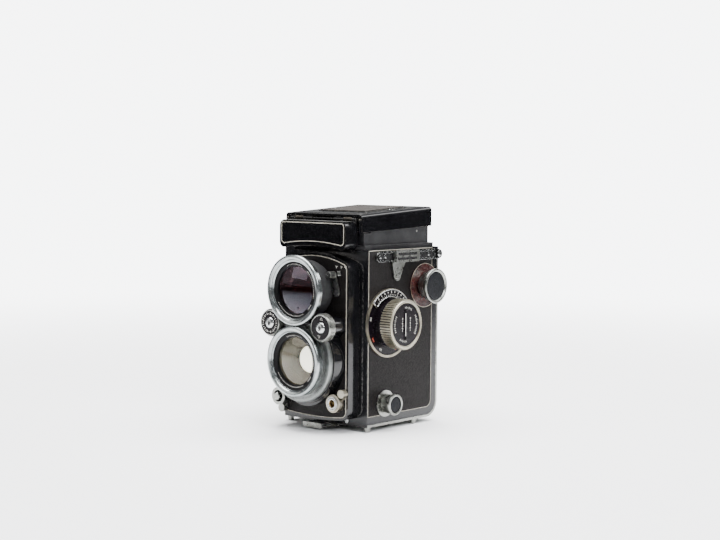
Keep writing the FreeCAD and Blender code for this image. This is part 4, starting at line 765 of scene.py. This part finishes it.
board = {"half": 31.2, "low": 6.0, "high": 117.0, "arch": 80.0, "bow": 220.0, "corner": 6.0, "lineInset": 2.0,
         "lineLift": 0.02, "line": 0.34, "leatherInset": 2.1, "leatherThick": 0.16}


def boardOutline(inset, y):
    b = board
    shape = archedOutline(b["half"] - inset, b["low"] + inset, b["high"] - inset, b["arch"] - inset,
                          b["bow"] - inset, b["corner"] - inset)
    return [(x, y, z) for x, z in shape]


def boardFrontPieces():
    # a pale line round the board and the leather inside it
    line = wireMesh(boardOutline(board["lineInset"], boardFront - board["lineLift"]), board["line"])
    addPiece("boardOutline", line, "paleLine", boardBody)
    skin = plateMesh(boardOutline(board["leatherInset"], boardFront), (0, -board["leatherThick"], 0))
    addPiece("boardLeather", skin, "leather", boardBody)


boardFrontPieces()
print("lens board ready")


lensSet = {
    "viewing": {"axis": viewAxis, "bore": 18.7, "notches": (98, 133, 222), "deep": "viewDeep",
                "glass": "viewGlass"},
    "taking": {"axis": takeAxis, "bore": 19.3, "notches": (97, 200, 225), "deep": "takeDeep",
               "glass": "takeGlass"},
}
rim = {"front": -68.4, "radius": 23.3, "seat": 19.8, "barrel": 19.2}
baffles = {"radius": 15.4, "start": 4.9, "end": 16.4, "pitch": 1.25, "step": 0.66}
nameMarks = {"arcs": ((-206, 88, 22), (-238, 16, 5), (-318, 66, 17), (-383, 48, 12)), "radius": 17.1,
             "depth": 2.5, "size": (0.85, 0.24, 0.12)}
frontGlass = {"radius": 15.68, "edge": 4.3, "swell": 2.1, "thick": 1.5, "hollow": 0.9}
innerGlass = {"radius": 12.2, "edge": 11.2, "swell": -1.6, "thick": 0.5}


def lensPlace(label):
    # local Z runs into the lens from the rim's front
    return turnTo((0, rim["front"], lensSet[label]["axis"]), (0, 1, 0))


def lensRim(label):
    place = lensPlace(label)
    out, seat, bore = rim["radius"], rim["seat"], lensSet[label]["bore"]
    points = [(bore, 2.5), (bore, 2.1), (bore + 0.3, 1.85), (seat - 0.25, 1.7), (seat, 1.5), (seat + 0.05, 1.0),
              (seat + 0.5, 0.45), (seat + 1.0, 0.32), (out - 1.7, 0.05), (out - 1.2, 0.0), (out - 0.6, 0.12),
              (out - 0.2, 0.4), (out, 0.85), (out, 1.55), (out - 0.12, 1.7), (out - 1.0, 1.7), (out - 1.0, 4.9),
              (out - 1.1, 5.0), (rim["barrel"], 5.0), (rim["barrel"], 2.5)]
    addPiece(label + "RimTurned", revolved(points, place, 160), "rimChrome", boardBody, crease=32,
             stands=(label + "_rim",))
    # dark slots where a shade locks on
    cuts = [bars(place, "blackFill", 1, seat + 0.75, (0.8, 2.4, 0.3), -math.radians(angle), shift=(0, 0, 0.42))
            for angle in lensSet[label]["notches"]]
    addPiece(label + "RimCuts", joinMeshes(cuts), "blackFill", boardBody)


def lensThroat(label):
    # black ring with plain marks, then stepped baffles down to the blades
    place = lensPlace(label)
    bore = lensSet[label]["bore"]
    front = [(bore + 0.02, 2.35), (bore - 0.3, 2.3), (16.2, 2.75), (15.9, 2.9), (15.7, 3.6), (15.7, 4.6),
             (16.4, 4.7), (bore + 0.02, 4.7)]
    addPiece(label + "NameRing", revolved(front, place, 128), "throat", boardBody, crease=40)
    points = [(15.65, 4.75)]
    height, radius = baffles["start"], baffles["radius"]
    while height < baffles["end"]:
        points += [(radius, height), (radius - 0.12, height + 0.9), (radius - 0.62, height + 1.05)]
        height += baffles["pitch"]
        radius -= baffles["step"]
    points += [(8.3, 17.2), (0, 17.3), (0, 18.0), (15.0, 18.0), (15.65, 17.0)]
    addPiece(label + "Baffles", revolved(points, place), lensSet[label]["deep"], boardBody, crease=30)
    m = nameMarks
    slope = -math.atan2(0.45, 2.2)  # the ring's face leans inwards
    marks = barArcs(place, "whiteFill", m["arcs"], m["radius"], m["size"], shift=(0, 0, m["depth"]), tilt=slope,
                    every=3, short=0.6)
    addPiece(label + "Marks", marks, "whiteFill", boardBody)


def domed(radius, edge, swell, steps):
    # a rounded face from the middle out to its edge
    return [(radius * k / steps, edge - swell * (1 - (k / steps) ** 2)) for k in range(steps + 1)]


def lensGlass(label):
    # a clear front element, thick in the middle
    g = frontGlass
    back = domed(g["radius"], g["edge"] + g["thick"], g["hollow"], 14)
    points = domed(g["radius"], g["edge"], g["swell"], 14) + back[::-1]
    addPiece(label + "FrontElement", revolved(points, lensPlace(label)), lensSet[label]["glass"], boardBody,
             crease=50, stands=(label + "_glass",))


for label in lensSet:
    lensRim(label)
    lensThroat(label)
    lensGlass(label)


def innerPieces():
    # the second element of the viewing lens, with painted reflection rings and a painted glow, and the pale closed
    # shutter behind the taking lens, which glows as painted light
    g = innerGlass
    points = domed(g["radius"], g["edge"], g["swell"], 8)
    points += [(g["radius"], g["edge"] + g["thick"]), (0, g["edge"] + g["thick"])]
    element = revolved(points, lensPlace("viewing"), 64)
    addPiece("viewingInnerElement", element, "viewingInner", boardBody, crease=50)
    # the shutter disc glows with its finish's painted light
    disc = revolved([(0, 16.3), (8.2, 16.3), (8.2, 16.8), (0, 16.8)], lensPlace("taking"), 64)
    addPiece("shutterBlades", disc, "blade", boardBody)


scaleMarks = {"y": -61.62, "radius": 24.9, "arcs": ((-40, 74, 26), (125, 118, 40)), "size": (2.1, 0.32, 0.1)}


def scaleTicks():
    s = scaleMarks
    ticks = barArcs(turnTo((0, s["y"], takeAxis), (0, 1, 0)), "blackFill", s["arcs"], s["radius"], s["size"],
                    every=5, short=0.5)
    addPiece("scaleTicks", ticks, "blackFill", boardBody)


innerPieces()
scaleTicks()
print("lenses ready")


wheels = {
    "speed": {"x": 22.9, "body": "speed_wheel_body", "node": "speed_wheel"},
    "aperture": {"x": -22.9, "body": "aperture_wheel_body", "node": "aperture_wheel"},
}
wheelSize = {"z": 69.925, "front": -66.0, "radius": 9.3, "face": 8.6, "dome": 3.7, "teeth": 60,
             "tooth": (0.8, 0.46, 3.4), "ticks": 26, "tick": (1.5, 0.36, 0.12), "arrowRadius": 6.0}


def speedArrows(x):
    # two small outlined triangles that point outwards
    s = wheelSize
    marks = []
    for angle in (80, 260):
        a = math.radians(angle)
        out = Vector((math.cos(a), 0, math.sin(a)))
        across = Vector((-math.sin(a), 0, math.cos(a)))
        middle = Vector((x, s["front"] + 0.02, s["z"])) + out * s["arrowRadius"]
        foot = middle - out * 0.8
        marks.append(wireMesh([middle + out, foot + across, foot - across], 0.12))
    return joinMeshes(marks)


def dialWheel(label):
    w, s = wheels[label], wheelSize
    place = turnTo((w["x"], s["front"], s["z"]), (0, 1, 0))
    r, face, d = s["radius"], s["face"], s["dome"]
    drum = [(0, 0.3), (face - 0.75, 0.3), (face - 0.7, 0.04), (face - 0.4, -0.0), (face - 0.05, 0.3),
            (r - 0.55, 1.5), (r - 0.5, 4.9), (r - 0.9, 5.45), (2.2, 5.45), (2.2, 2.0), (0, 2.0)]
    addPiece(label + "WheelDrum", revolved(drum, place), "satin", w["body"], crease=35, stands=(w["node"],))
    ridges = bars(place, "satin", s["teeth"], r - 0.42, s["tooth"], shift=(0, 0, 3.2))
    addPiece(label + "WheelRidges", ridges, "satin", w["body"])
    disc = revolved([(0, 0.1), (face - 0.78, 0.1), (face - 0.78, 0.34), (0, 0.34)], place, 64)
    addPiece(label + "WheelFace", disc, "dial", w["body"])
    dome = [(0, -0.62), (d * 0.36, -0.62), (d * 0.42, -1.05), (d * 0.6, -1.12), (d * 0.8, -0.8),
            (d * 0.95, -0.25), (d, 0.1), (0, 0.12)]
    addPiece(label + "WheelDome", revolved(dome, place, 64), "chrome", w["body"], crease=50)
    pit = revolved([(0, -0.66), (d * 0.34, -0.66), (d * 0.34, -0.56), (0, -0.56)], place, 32)
    addPiece(label + "WheelPit", pit, "satinBlack", w["body"])
    if label == "speed":
        addPiece("speedWheelMarks", speedArrows(w["x"]), "whiteFill", w["body"])
    else:
        ticks = bars(place, "whiteFill", s["ticks"], 6.1, s["tick"], 0.1, shift=(0, 0, 0.04), every=2,
                     short=0.5)
        addPiece("apertureWheelTicks", ticks, "whiteFill", w["body"])


for label in wheels:
    dialWheel(label)
print("wheels ready")


flash = {"place": (22.0, -53.5, 18.9), "bore": 2.8, "radius": 4.4}
sync = {"place": (19.2, -54.7, 103.4), "tip": (22.0, -49.93, 91.7), "markShifts": (1.2, 5.6, 9.2),
        "markRise": 5.2}
lockKnobs = {
    "flashLockCap": {"body": "flash_lock_body", "x": 28.3, "z": 25.8, "slotTurn": 0.8},
    "releaseLockCap": {"body": "release_lock_body", "x": -25.5, "z": 11.0, "slotTurn": 0.3},
}
lockKnob = {"y": -51.25, "radius": 2.75, "slot": (3.6, 0.6, 0.5)}
release = {"place": (-24.0, -54.9, 19.6), "ridges": 36, "radius": 5.85, "ridge": (0.3, 0.5, 2.6)}


def flashParts():
    place = turnTo(flash["place"], (0, 1, 0))
    bore, out = flash["bore"], flash["radius"]
    ring = [(bore, 0.3), (bore + 0.15, 0.05), (bore + 0.5, 0.0), (out - 0.3, 0.0), (out, 0.25), (out, 1.4),
            (bore, 1.4)]
    addPiece("flashMouth", revolved(ring, place, 64), "satin", boardBody, crease=40)
    liner = [(bore - 0.01, 0.4), (bore - 0.01, 4.7), (bore - 0.3, 4.7), (bore - 0.3, 0.9)]
    addPiece("flashLiner", revolved(liner, place, 48), "brass", boardBody)
    pin = [(0, 1.6), (0.35, 1.7), (0.5, 2.1), (0.5, 4.75), (0, 4.75)]
    addPiece("flashPin", revolved(pin, place, 24), "brass", boardBody)


def syncParts():
    # a dark centre in the lever's post as painted shade in its hole, a dark dot at its tip and three setting marks
    # above
    post = turnTo(sync["place"], (0, 1, 0))
    cap = [(0, 0.12), (1.15, 0.1), (1.2, -0.0), (1.6, -0.02), (2.2, 0.3), (2.2, 0.6), (0, 0.6)]
    addPiece("syncCap", revolved(cap, post, 40), "chrome", "sync_lever_body", crease=40)
    paintedHoleShade = revolved([(0, 0.02), (1.1, 0.02), (1.1, 0.14), (0, 0.14)], post, 32)
    addPiece("syncCentre", paintedHoleShade, "blackFill", "sync_lever_body")
    dot = [(0, -0.04), (1.5, -0.04), (1.6, 0.02), (1.6, 0.08), (0, 0.08)]
    addPiece("syncDot", revolved(dot, turnTo(sync["tip"], (0, 1, 0)), 32), "blackFill", "sync_lever_body")
    x, _, z = sync["place"]
    marks = []
    for dx in sync["markShifts"]:
        place = turnTo((x + dx, boardFront - 0.2, z + sync["markRise"]), (0, 1, 0))
        marks.append(bars(place, "whiteFill", 3, 0.55, (0.9, 0.24, 0.12), dx))
    addPiece("syncMarks", joinMeshes(marks), "whiteFill", boardBody)


def lockKnobCaps():
    k = lockKnob
    cap = [(0, 0.1), (2.0, 0.1), (2.5, 0.25), (k["radius"], 0.7), (k["radius"], 2.4), (0, 2.4)]
    for label, knob in lockKnobs.items():
        place = turnTo((knob["x"], k["y"], knob["z"]), (0, 1, 0))
        addPiece(label, revolved(cap, place, 40), "cream", knob["body"], crease=40)
        # a black bar paints the shade in the cap's slot
        addPiece(label + "Slot", bars(place, "blackFill", 1, 0.0, k["slot"], knob["slotTurn"]), "blackFill",
                 knob["body"])


def releaseRidges():
    teeth = bars(turnTo(release["place"], (0, 1, 0)), "satin", release["ridges"], release["radius"],
                 release["ridge"])
    addPiece("releaseCollarRidges", teeth, "satin", "release_lock_body")


flashParts()
syncParts()
lockKnobCaps()
releaseRidges()
print("small board parts ready")


focus = {"y": -15.4, "z": 70.6, "radius": 16.75, "low": 38.7, "band": 44.6, "high": 53.6, "ridges": 60,
         "spindle": 33.2, "camShift": 1.5, "camRadius": 9.0}
reminder = {"arcs": ((60, 60, 9), (150, 40, 6), (235, 70, 12), (330, 40, 6)), "radius": 11.2,
            "tick": (1.5, 0.26, 0.08), "bar": (15.0, 0.7, 0.16), "rows": (-4.6, 3.4)}
distance = {"x": 38.72, "radius": 19.2, "tick": (1.5, 0.3, 0.1),
            "white": ((-62, 10, 4), (-130, 10, 4), (76, 8, 3), (150, 8, 3)),
            "red": ((-96, 8, 3), (-160, 8, 3), (118, 10, 4))}
window = {"x": 39.7, "reach": 50, "inner": 17.75, "outer": 22.3, "line": 0.26}


def focusKnob():
    f = focus
    place = turnTo((0, f["y"], f["z"]), (1, 0, 0))
    r, low, band, high = f["radius"], f["low"], f["band"], f["high"]
    drum = [(0, band), (r - 2.4, band), (r - 1.3, band + 0.15), (r - 0.9, band + 0.5), (r - 0.85, high - 1.9),
            (r - 0.95, high - 0.9), (r - 0.8, high - 0.45), (r - 1.1, high - 0.1), (r - 1.7, high),
            (r - 2.25, high - 0.1), (r - 2.4, high - 0.35), (r - 2.4, high - 1.6), (2.1, high - 1.6),
            (2.1, high - 4.4), (0, high - 4.4)]
    start = f["spindle"]
    shaft = revolved([(0, start), (3.0, start), (3.0, low + 0.1), (0, low + 0.1)], place, 32)
    cam = revolved([(0, start), (f["camRadius"], start), (f["camRadius"], start + 1.4), (0, start + 1.4)],
                   turnTo((0, f["y"] + f["camShift"], f["z"]), (1, 0, 0)), 48)
    addPiece("focusKnobDrum", joinMeshes([revolved(drum, place, 160), shaft, cam]), "cream", "focus_knob_body",
             crease=35, stands=("focus_knob",))
    groove = [(r - 1.2, band + 0.5), (r - 0.82, band + 0.5), (r - 0.82, high - 1.1), (r - 1.2, high - 1.1)]
    addPiece("focusKnobGroove", revolved(groove, place, 128), "bronze", "focus_knob_body")
    neck = [(0, low), (r - 0.9, low), (r - 0.9, low + 0.5), (r - 2.0, band - 0.6), (r - 2.0, band + 0.05),
            (0, band + 0.05)]
    addPiece("focusKnobNeck", revolved(neck, place, 128), "dial", "focus_knob_body", crease=35)
    teeth = bars(place, "cream", f["ridges"], r - 0.52, (1.0, 0.9, high - band - 0.9),
                 shift=(0, 0, (band + high - 0.6) / 2))
    addPiece("focusKnobTeeth", teeth, "cream", "focus_knob_body")


def reminderMarks():
    # ticks round the disc's rim, a white bar across its slot and two rows of short marks
    m = reminder
    disc = turnTo((focus["high"] - 0.68, focus["y"], focus["z"]), (1, 0, 0))
    parts = [barArcs(disc, "whiteFill", m["arcs"], m["radius"], m["tick"], every=2, short=0.6),
             bars(disc, "whiteFill", 1, 0.0, m["bar"], shift=(0, 0.9, 0.76))]
    for row in m["rows"]:
        for k in range(6):
            parts.append(bars(disc, "whiteFill", 1, 0.0, (0.9, 0.3 + (k % 2) * 0.25, 0.08),
                              shift=(k * 1.6 - 4.0, row, 0)))
    addPiece("reminderMarks", joinMeshes(parts), "whiteFill", "reminder")


def distanceMarks():
    d = distance
    face = turnTo((d["x"], focus["y"], focus["z"]), (1, 0, 0))
    for tone in ("white", "red"):
        ticks = barArcs(face, tone + "Fill", d[tone], d["radius"], d["tick"], every=2, short=0.7)
        addPiece("distance" + tone.capitalize(), ticks, tone + "Fill", "focus_knob_body")


def focusWindow():
    # the arc window over the distance disc: black inlay, chrome outline and white marks
    x, reach, steps = window["x"], math.radians(window["reach"]), 32
    edge = []
    for radius, way in ((window["outer"], 1), (window["inner"], -1)):
        for i in range(steps + 1):
            a = way * (2 * reach * i / steps - reach)
            edge.append((x, focus["y"] + radius * math.sin(a), focus["z"] + radius * math.cos(a)))
    addPiece("windowInlay", plateMesh(edge, (0.08, 0, 0)), "dial", "camera")
    line = wireMesh([(x + 0.05, y, z) for _, y, z in edge], window["line"])
    addPiece("windowOutline", line, "chrome", "camera")
    place = turnTo((x + 0.09, focus["y"], focus["z"]), (1, 0, 0))
    marks = [barArcs(place, "whiteFill", ((-44, 92, 16),), 18.9, (1.2, 0.3, 0.1), every=4, short=0.6),
             barArcs(place, "whiteFill", ((-40, 86, 9),), 20.7, (1.5, 0.5, 0.1), every=2, short=0.65)]
    addPiece("windowMarks", joinMeshes(marks), "whiteFill", "camera")


focusKnob()
reminderMarks()
distanceMarks()
focusWindow()
print("focus knob ready")


filmKnobs = {
    "takeup": {"y": 22.0, "z": 93.7, "neck": 8.5, "radius": 11.9, "low": 39.1, "high": 48.9, "teeth": 64,
               "face": 9.6},
    "feed": {"y": -17.9, "z": 17.0, "neck": 6.0, "radius": 7.2, "low": 38.6, "high": 47.3, "teeth": 44,
             "face": 5.6},
}
spindle = {"start": 29.4, "radius": 3.0}
filmDial = {"x": 38.46, "radius": 13.2, "tick": (1.9, 0.34, 0.08), "rim": 15.05,
            "arcs": ((10, 50, 9), (80, 46, 8), (150, 52, 9), (225, 44, 8), (290, 50, 9))}


def filmKnob(label):
    k = filmKnobs[label]
    body = label + "_knob_body"
    place = turnTo((0, k["y"], k["z"]), (1, 0, 0))
    r, low, high, neck, face = k["radius"], k["low"], k["high"], k["neck"], k["face"]
    wallTop = high - 2.6
    points = [(0, spindle["start"]), (spindle["radius"], spindle["start"]), (spindle["radius"], low),
              (neck - 0.35, low), (neck - 0.3, low + 0.2), (r - 0.75, wallTop), (r - 0.25, wallTop + 0.35),
              (r, wallTop + 0.8), (r, high - 0.75), (r - 0.2, high - 0.25), (r - 0.7, high), (r - 1.2, high),
              (r - 1.7, high - 0.2), (face, high - 0.85), (0, high - 0.85)]
    addPiece(label + "KnobTurned", revolved(points, place), "satin", body, crease=30, stands=(label + "_knob",))
    lean = math.atan2(r - 0.75 - neck, wallTop - low)
    long = (wallTop - low) * 0.86 / math.cos(lean)
    teeth = bars(place, "satin", k["teeth"], (neck + r) / 2 - 0.55, (0.55, 0.42, long),
                 shift=(0, 0, (low + wallTop) / 2), tilt=lean)
    addPiece(label + "KnobTeeth", teeth, "satin", body)
    cover = [(0, high - 0.5), (face * 0.6, high - 0.48), (face - 0.5, high - 0.52), (face, high - 0.75),
             (face, high - 0.9), (0, high - 0.9)]
    addPiece(label + "KnobFace", revolved(cover, place, 64), "knobLeather", body, crease=40)


def filmDialMarks():
    d = filmDial
    knob = filmKnobs["takeup"]
    place = turnTo((d["x"], knob["y"], knob["z"]), (1, 0, 0))
    ticks = barArcs(place, "blackFill", d["arcs"], d["radius"], d["tick"], every=2, short=0.5)
    addPiece("filmDialMarks", ticks, "blackFill", "film_dial_body")
    edge = d["rim"]
    ring = revolved([(edge - 0.3, -0.02), (edge, -0.02), (edge, 0.05), (edge - 0.3, 0.05)], place)
    addPiece("filmDialRim", ring, "cream", "film_dial_body")


for label in filmKnobs:
    filmKnob(label)
filmDialMarks()
print("film knobs ready")


rail = {"frontY": -27.3, "loopFront": -12.3, "loopRear": 11.8, "rearY": 31.0, "z": 114.7, "half": 2.15,
        "x": 38.72, "loopX": 41.86, "loopSlots": ((112.6, 114.0), (115.3, 116.7))}
railScrews = {"places": ((-25.3, 0.4), (-20.3, 1.1), (15.4, 0.2), (25.3, 0.9)), "x": 39.12,
              "slot": (1.7, 0.3, 0.1), "endX": 39.28, "endY": 36.9, "endSlot": (3.2, 0.5, 0.12), "endTurn": 0.7}
tongue = {"x": 39.9, "y": -7.42, "z": 101.7}


def flatPlates(x, side, boxes, corners, thick):
    # rounded plates that face sideways, each box given as low and high (y, z)
    parts = []
    for low, high in boxes:
        shape = roundedBox(low, high, corners, 4)
        parts.append(plateMesh([(side * x, y, z) for y, z in shape], (side * thick, 0, 0)))
    return joinMeshes(parts)


def railInlays(side, label):
    # black inlay plates let into the channel before and behind the loop
    p, s = rail, railScrews
    low, high = p["z"] - p["half"], p["z"] + p["half"]
    ends = ((p["frontY"], p["loopFront"] - 0.3), (p["loopRear"] + 0.3, p["rearY"]))
    boxes = [((start, low), (end, high)) for start, end in ends]
    plates = flatPlates(p["x"], side, boxes, (0.8, 0.3, 0.3, 0.8), 0.1)
    addPiece("railInlay" + label, plates, "satinBlack", "camera")
    # slotted rivets and screws along the channel, and the end screw over the hinge; black bars paint the shade in
    # their slots
    paintedSlotShades, heads = [], []
    for y, turn in s["places"]:
        place = turnTo((side * s["x"], y, p["z"]), (side, 0, 0))
        heads.append(revolved([(0, 0.12), (0.8, 0.1), (1.15, -0.02), (1.3, -0.3), (0, -0.3)], place, 24))
        paintedSlotShades.append(bars(place, "blackFill", 1, 0.0, s["slot"], turn, shift=(0, 0, 0.1)))
    place = turnTo((side * s["endX"], s["endY"], p["z"]), (side, 0, 0))
    heads.append(revolved([(0, 0.28), (1.4, 0.26), (2.0, 0.05), (2.1, -0.2), (0, -0.2)], place, 32))
    paintedSlotShades.append(bars(place, "blackFill", 1, 0.0, s["endSlot"], s["endTurn"], shift=(0, 0, 0.27)))
    addPiece("railHeads" + label, joinMeshes(heads), "chrome", "camera", crease=40)
    addPiece("railSlots" + label, joinMeshes(paintedSlotShades), "blackFill", "camera")
    # two dark slots along the loop: satin black strips as painted shade in its gaps
    boxes = [((-9.8, lowZ), (9.4, highZ)) for lowZ, highZ in p["loopSlots"]]
    addPiece("loopSlots" + label, flatPlates(p["loopX"], side, boxes, (0.4,) * 4, 0.06), "satinBlack", "camera")
    # domed button on the tongue
    place = turnTo((side * tongue["x"], tongue["y"], tongue["z"]), (side, 0, 0))
    button = [(0, 0.1), (0.9, 0.0), (1.6, -0.3), (2.0, -0.8), (2.05, -1.2), (0, -1.2)]
    addPiece("tongueButton" + label, revolved(button, place, 40), "satin", "camera", crease=50)


railInlays(1, "Right")
railInlays(-1, "Left")
print("strap rails ready")


plate = {"lineY": -49.48, "line": 0.36, "side": 28.0, "top": 136.8, "low": 122.6, "arch": 2.0, "topCorner": 1.8,
         "footCorner": 2.6, "capLow": (-28.6, -49.3), "capHigh": (28.6, -41.0), "capZ": 138.12, "capThick": 0.1}
springs = {"low": 18.6, "high": 25.7, "turns": 9, "radius": 1.15, "wire": 0.28, "y": -38.0, "z": 139.6,
           "steps": 14}
lid = {"frontY": -38.8, "rearY": 35.4, "frontZ": 142.7, "rearZ": 147.05, "panelLine": 0.3, "edgeLine": 0.22,
       "clips": ((-24.6, 2.0, True), (24.6, 2.0, True), (0.0, 26.0, False)), "clipRivet": 1.7}
wallRivet = {"x": 32.5, "y": 20.1, "z": 130.6}


def nameplateLines():
    # one pale line with round corners and a foot that arches over the board
    p = plate
    side, top, low, high, foot = p["side"], p["top"], p["low"], p["topCorner"], p["footCorner"]
    loop = []
    for i in range(7):
        a = math.radians(90 - 15 * i)
        loop.append((side - high + high * math.cos(a), top - high + high * math.sin(a)))
    for i in range(7):
        a = math.radians(-15 * i)
        loop.append((side - foot + foot * math.cos(a), low + foot + foot * math.sin(a)))
    for i in range(1, 21):
        x = (side - foot) * (1 - i / 20)
        loop.append((x, low + p["arch"] * (1 - (x / (side - foot)) ** 2)))
    loop += [(-x, z) for x, z in reversed(loop[:-1])]
    mesh = wireMesh([(x, p["lineY"], z) for x, z in loop], p["line"])
    addPiece("nameplateOutline", mesh, "paleLine", "camera")
    # grey top edge: a lighter enamel that paints the sheen of the top face, with rubbed edges
    shape = roundedBox(p["capLow"], p["capHigh"], (1.5, 1.5, 0.5, 0.5), 5)
    cap = plateMesh([(x, y, p["capZ"]) for x, y in shape], (0, 0, p["capThick"]))
    addPiece("nameplateTop", cap, "wornTopPaintedSheen", "camera")


def lidSpring():
    # the coil springs on the lid's hinge line, drawn along a helix
    s = springs
    last = s["turns"] * s["steps"]
    parts = []
    for side in (-1, 1):
        points = []
        for i in range(last + 1):
            a = 2 * math.pi * i / s["steps"]
            x = s["low"] + (s["high"] - s["low"]) * i / last
            points.append((side * x, s["y"] + s["radius"] * math.cos(a), s["z"] + s["radius"] * math.sin(a)))
        parts.append(wireMesh(points, s["wire"], closed=False))
    addPiece("lidSprings", joinMeshes(parts), "bronze", "camera")


def lidZ(y):
    return lid["frontZ"] + (lid["rearZ"] - lid["frontZ"]) * (y - lid["frontY"]) / (lid["rearY"] - lid["frontY"])


def lidSquare(halfX, lowY, highY, lift, radius):
    shape = roundedBox((-halfX, lowY), (halfX, highY), (radius,) * 4, 5)
    return [(x, y, lidZ(y) + lift) for x, y in shape]


def lidClip(x, y, across):
    # a thin spring plate with two rivets
    long, wide = (1.3, 3.0) if across else (3.0, 1.3)
    z = lidZ(y)
    shape = roundedBox((x - long, y - wide), (x + long, y + wide), (0.5,) * 4, 4)
    parts = [plateMesh([(a, b, z - 0.1) for a, b in shape], (0, 0, 0.36), 0.1)]
    for k in (-lid["clipRivet"], lid["clipRivet"]):
        px, py = (x, y + k) if across else (x + k, y)
        parts.append(revolved([(0, 0.38), (0.45, 0.36), (0.7, 0.2), (0.7, 0.0), (0, 0.0)],
                              turnTo((px, py, z), (0, 0, 1), (1, 0, 0)), 20))
    return parts


def lidDetails():
    # raised lines round the panel and near the lid's edge, then the panel's skin and its clips
    lines = [wireMesh(lidSquare(21.3, -20.3, 22.3, 0.02, 0.8), lid["panelLine"]),
             wireMesh(lidSquare(28.5, -33.6, 30.0, 0.0, 1.5), lid["edgeLine"])]
    addPiece("lidLines", joinMeshes(lines), "enamel", "hood_lid_body")
    cover = plateMesh(lidSquare(20.0, -19.0, 21.0, 0.5, 0.5), (0, 0, 0.2), 0.08)
    addPiece("panelSkin", cover, "greyLeather", "hood_lid_body")
    clips = [mesh for clip in lid["clips"] for mesh in lidClip(*clip)]
    addPiece("lidClips", joinMeshes(clips), "chrome", "hood_lid_body", crease=35)


def hoodRivets():
    heads = []
    for side in (-1, 1):
        place = turnTo((side * wallRivet["x"], wallRivet["y"], wallRivet["z"]), (side, 0, 0))
        heads.append(revolved([(0, 0.35), (0.4, 0.3), (0.75, 0.05), (0.8, -0.1), (0, -0.1)], place, 20))
    addPiece("hoodRivets", joinMeshes(heads), "steel", "camera", crease=50)


nameplateLines()
lidSpring()
lidDetails()
hoodRivets()
print("hood ready")


door = {"lineY": 37.55, "line": 0.26, "faceY": 37.62, "faceThick": 0.07}
crankSize = {"y": -0.713, "z": 68.4, "capX": -46.0, "ridgeX": -41.65, "ridges": 72, "ridge": (0.3, 0.4, 3.0),
             "tickX": -39.5, "ticks": 40, "tick": (1.6, 0.3, 0.08), "handle": (-49.2, -0.713, 52.0),
             "handleRidges": 28, "handleRidge": (0.16, 0.3, 9.0)}


def doorPieces():
    # a pale line round the back leather, and black enamel over the door's middle so only its edges stay bright
    loop = roundedBox((-31.15, 17.75), (31.15, 105.25), (0.5,) * 4, 4)
    addPiece("backOutline", wireMesh([(x, door["lineY"], z) for x, z in loop], door["line"]), "paleLine",
             "back_door_body")
    shape = roundedBox((-36.2, 14.0), (36.2, 110.5), (1.0,) * 4, 4)
    face = plateMesh([(x, door["faceY"], z) for x, z in shape], (0, door["faceThick"], 0))
    addPiece("doorEnamel", face, "enamel", "back_door_body")


def crankPlace(x):
    return turnTo((x, crankSize["y"], crankSize["z"]), (-1, 0, 0))


def crankDetails():
    c = crankSize
    cap = [(0, 0.35), (3.0, 0.3), (3.6, 0.0), (6.0, -0.1), (7.0, -0.5), (8.7, -0.6), (8.7, -1.0), (0, -1.0)]
    addPiece("crankCap", revolved(cap, crankPlace(c["capX"]), 64), "satin", "crank_body", crease=40)
    teeth = bars(crankPlace(c["ridgeX"]), "satin", c["ridges"], 10.85, c["ridge"])
    addPiece("crankHubRidges", teeth, "satin", "crank_body")
    ticks = bars(crankPlace(c["tickX"]), "blackFill", c["ticks"], 14.6, c["tick"], every=5, short=0.5)
    addPiece("crankBaseTicks", ticks, "blackFill", "camera")
    place = turnTo(c["handle"], (0, 0, 1), (1, 0, 0))
    ridges = bars(place, "nickel", c["handleRidges"], 2.82, c["handleRidge"])
    addPiece("handleRidges", ridges, "nickel", "crank_handle_body")


doorPieces()
crankDetails()
print("back and crank ready")

print("pieces ready")
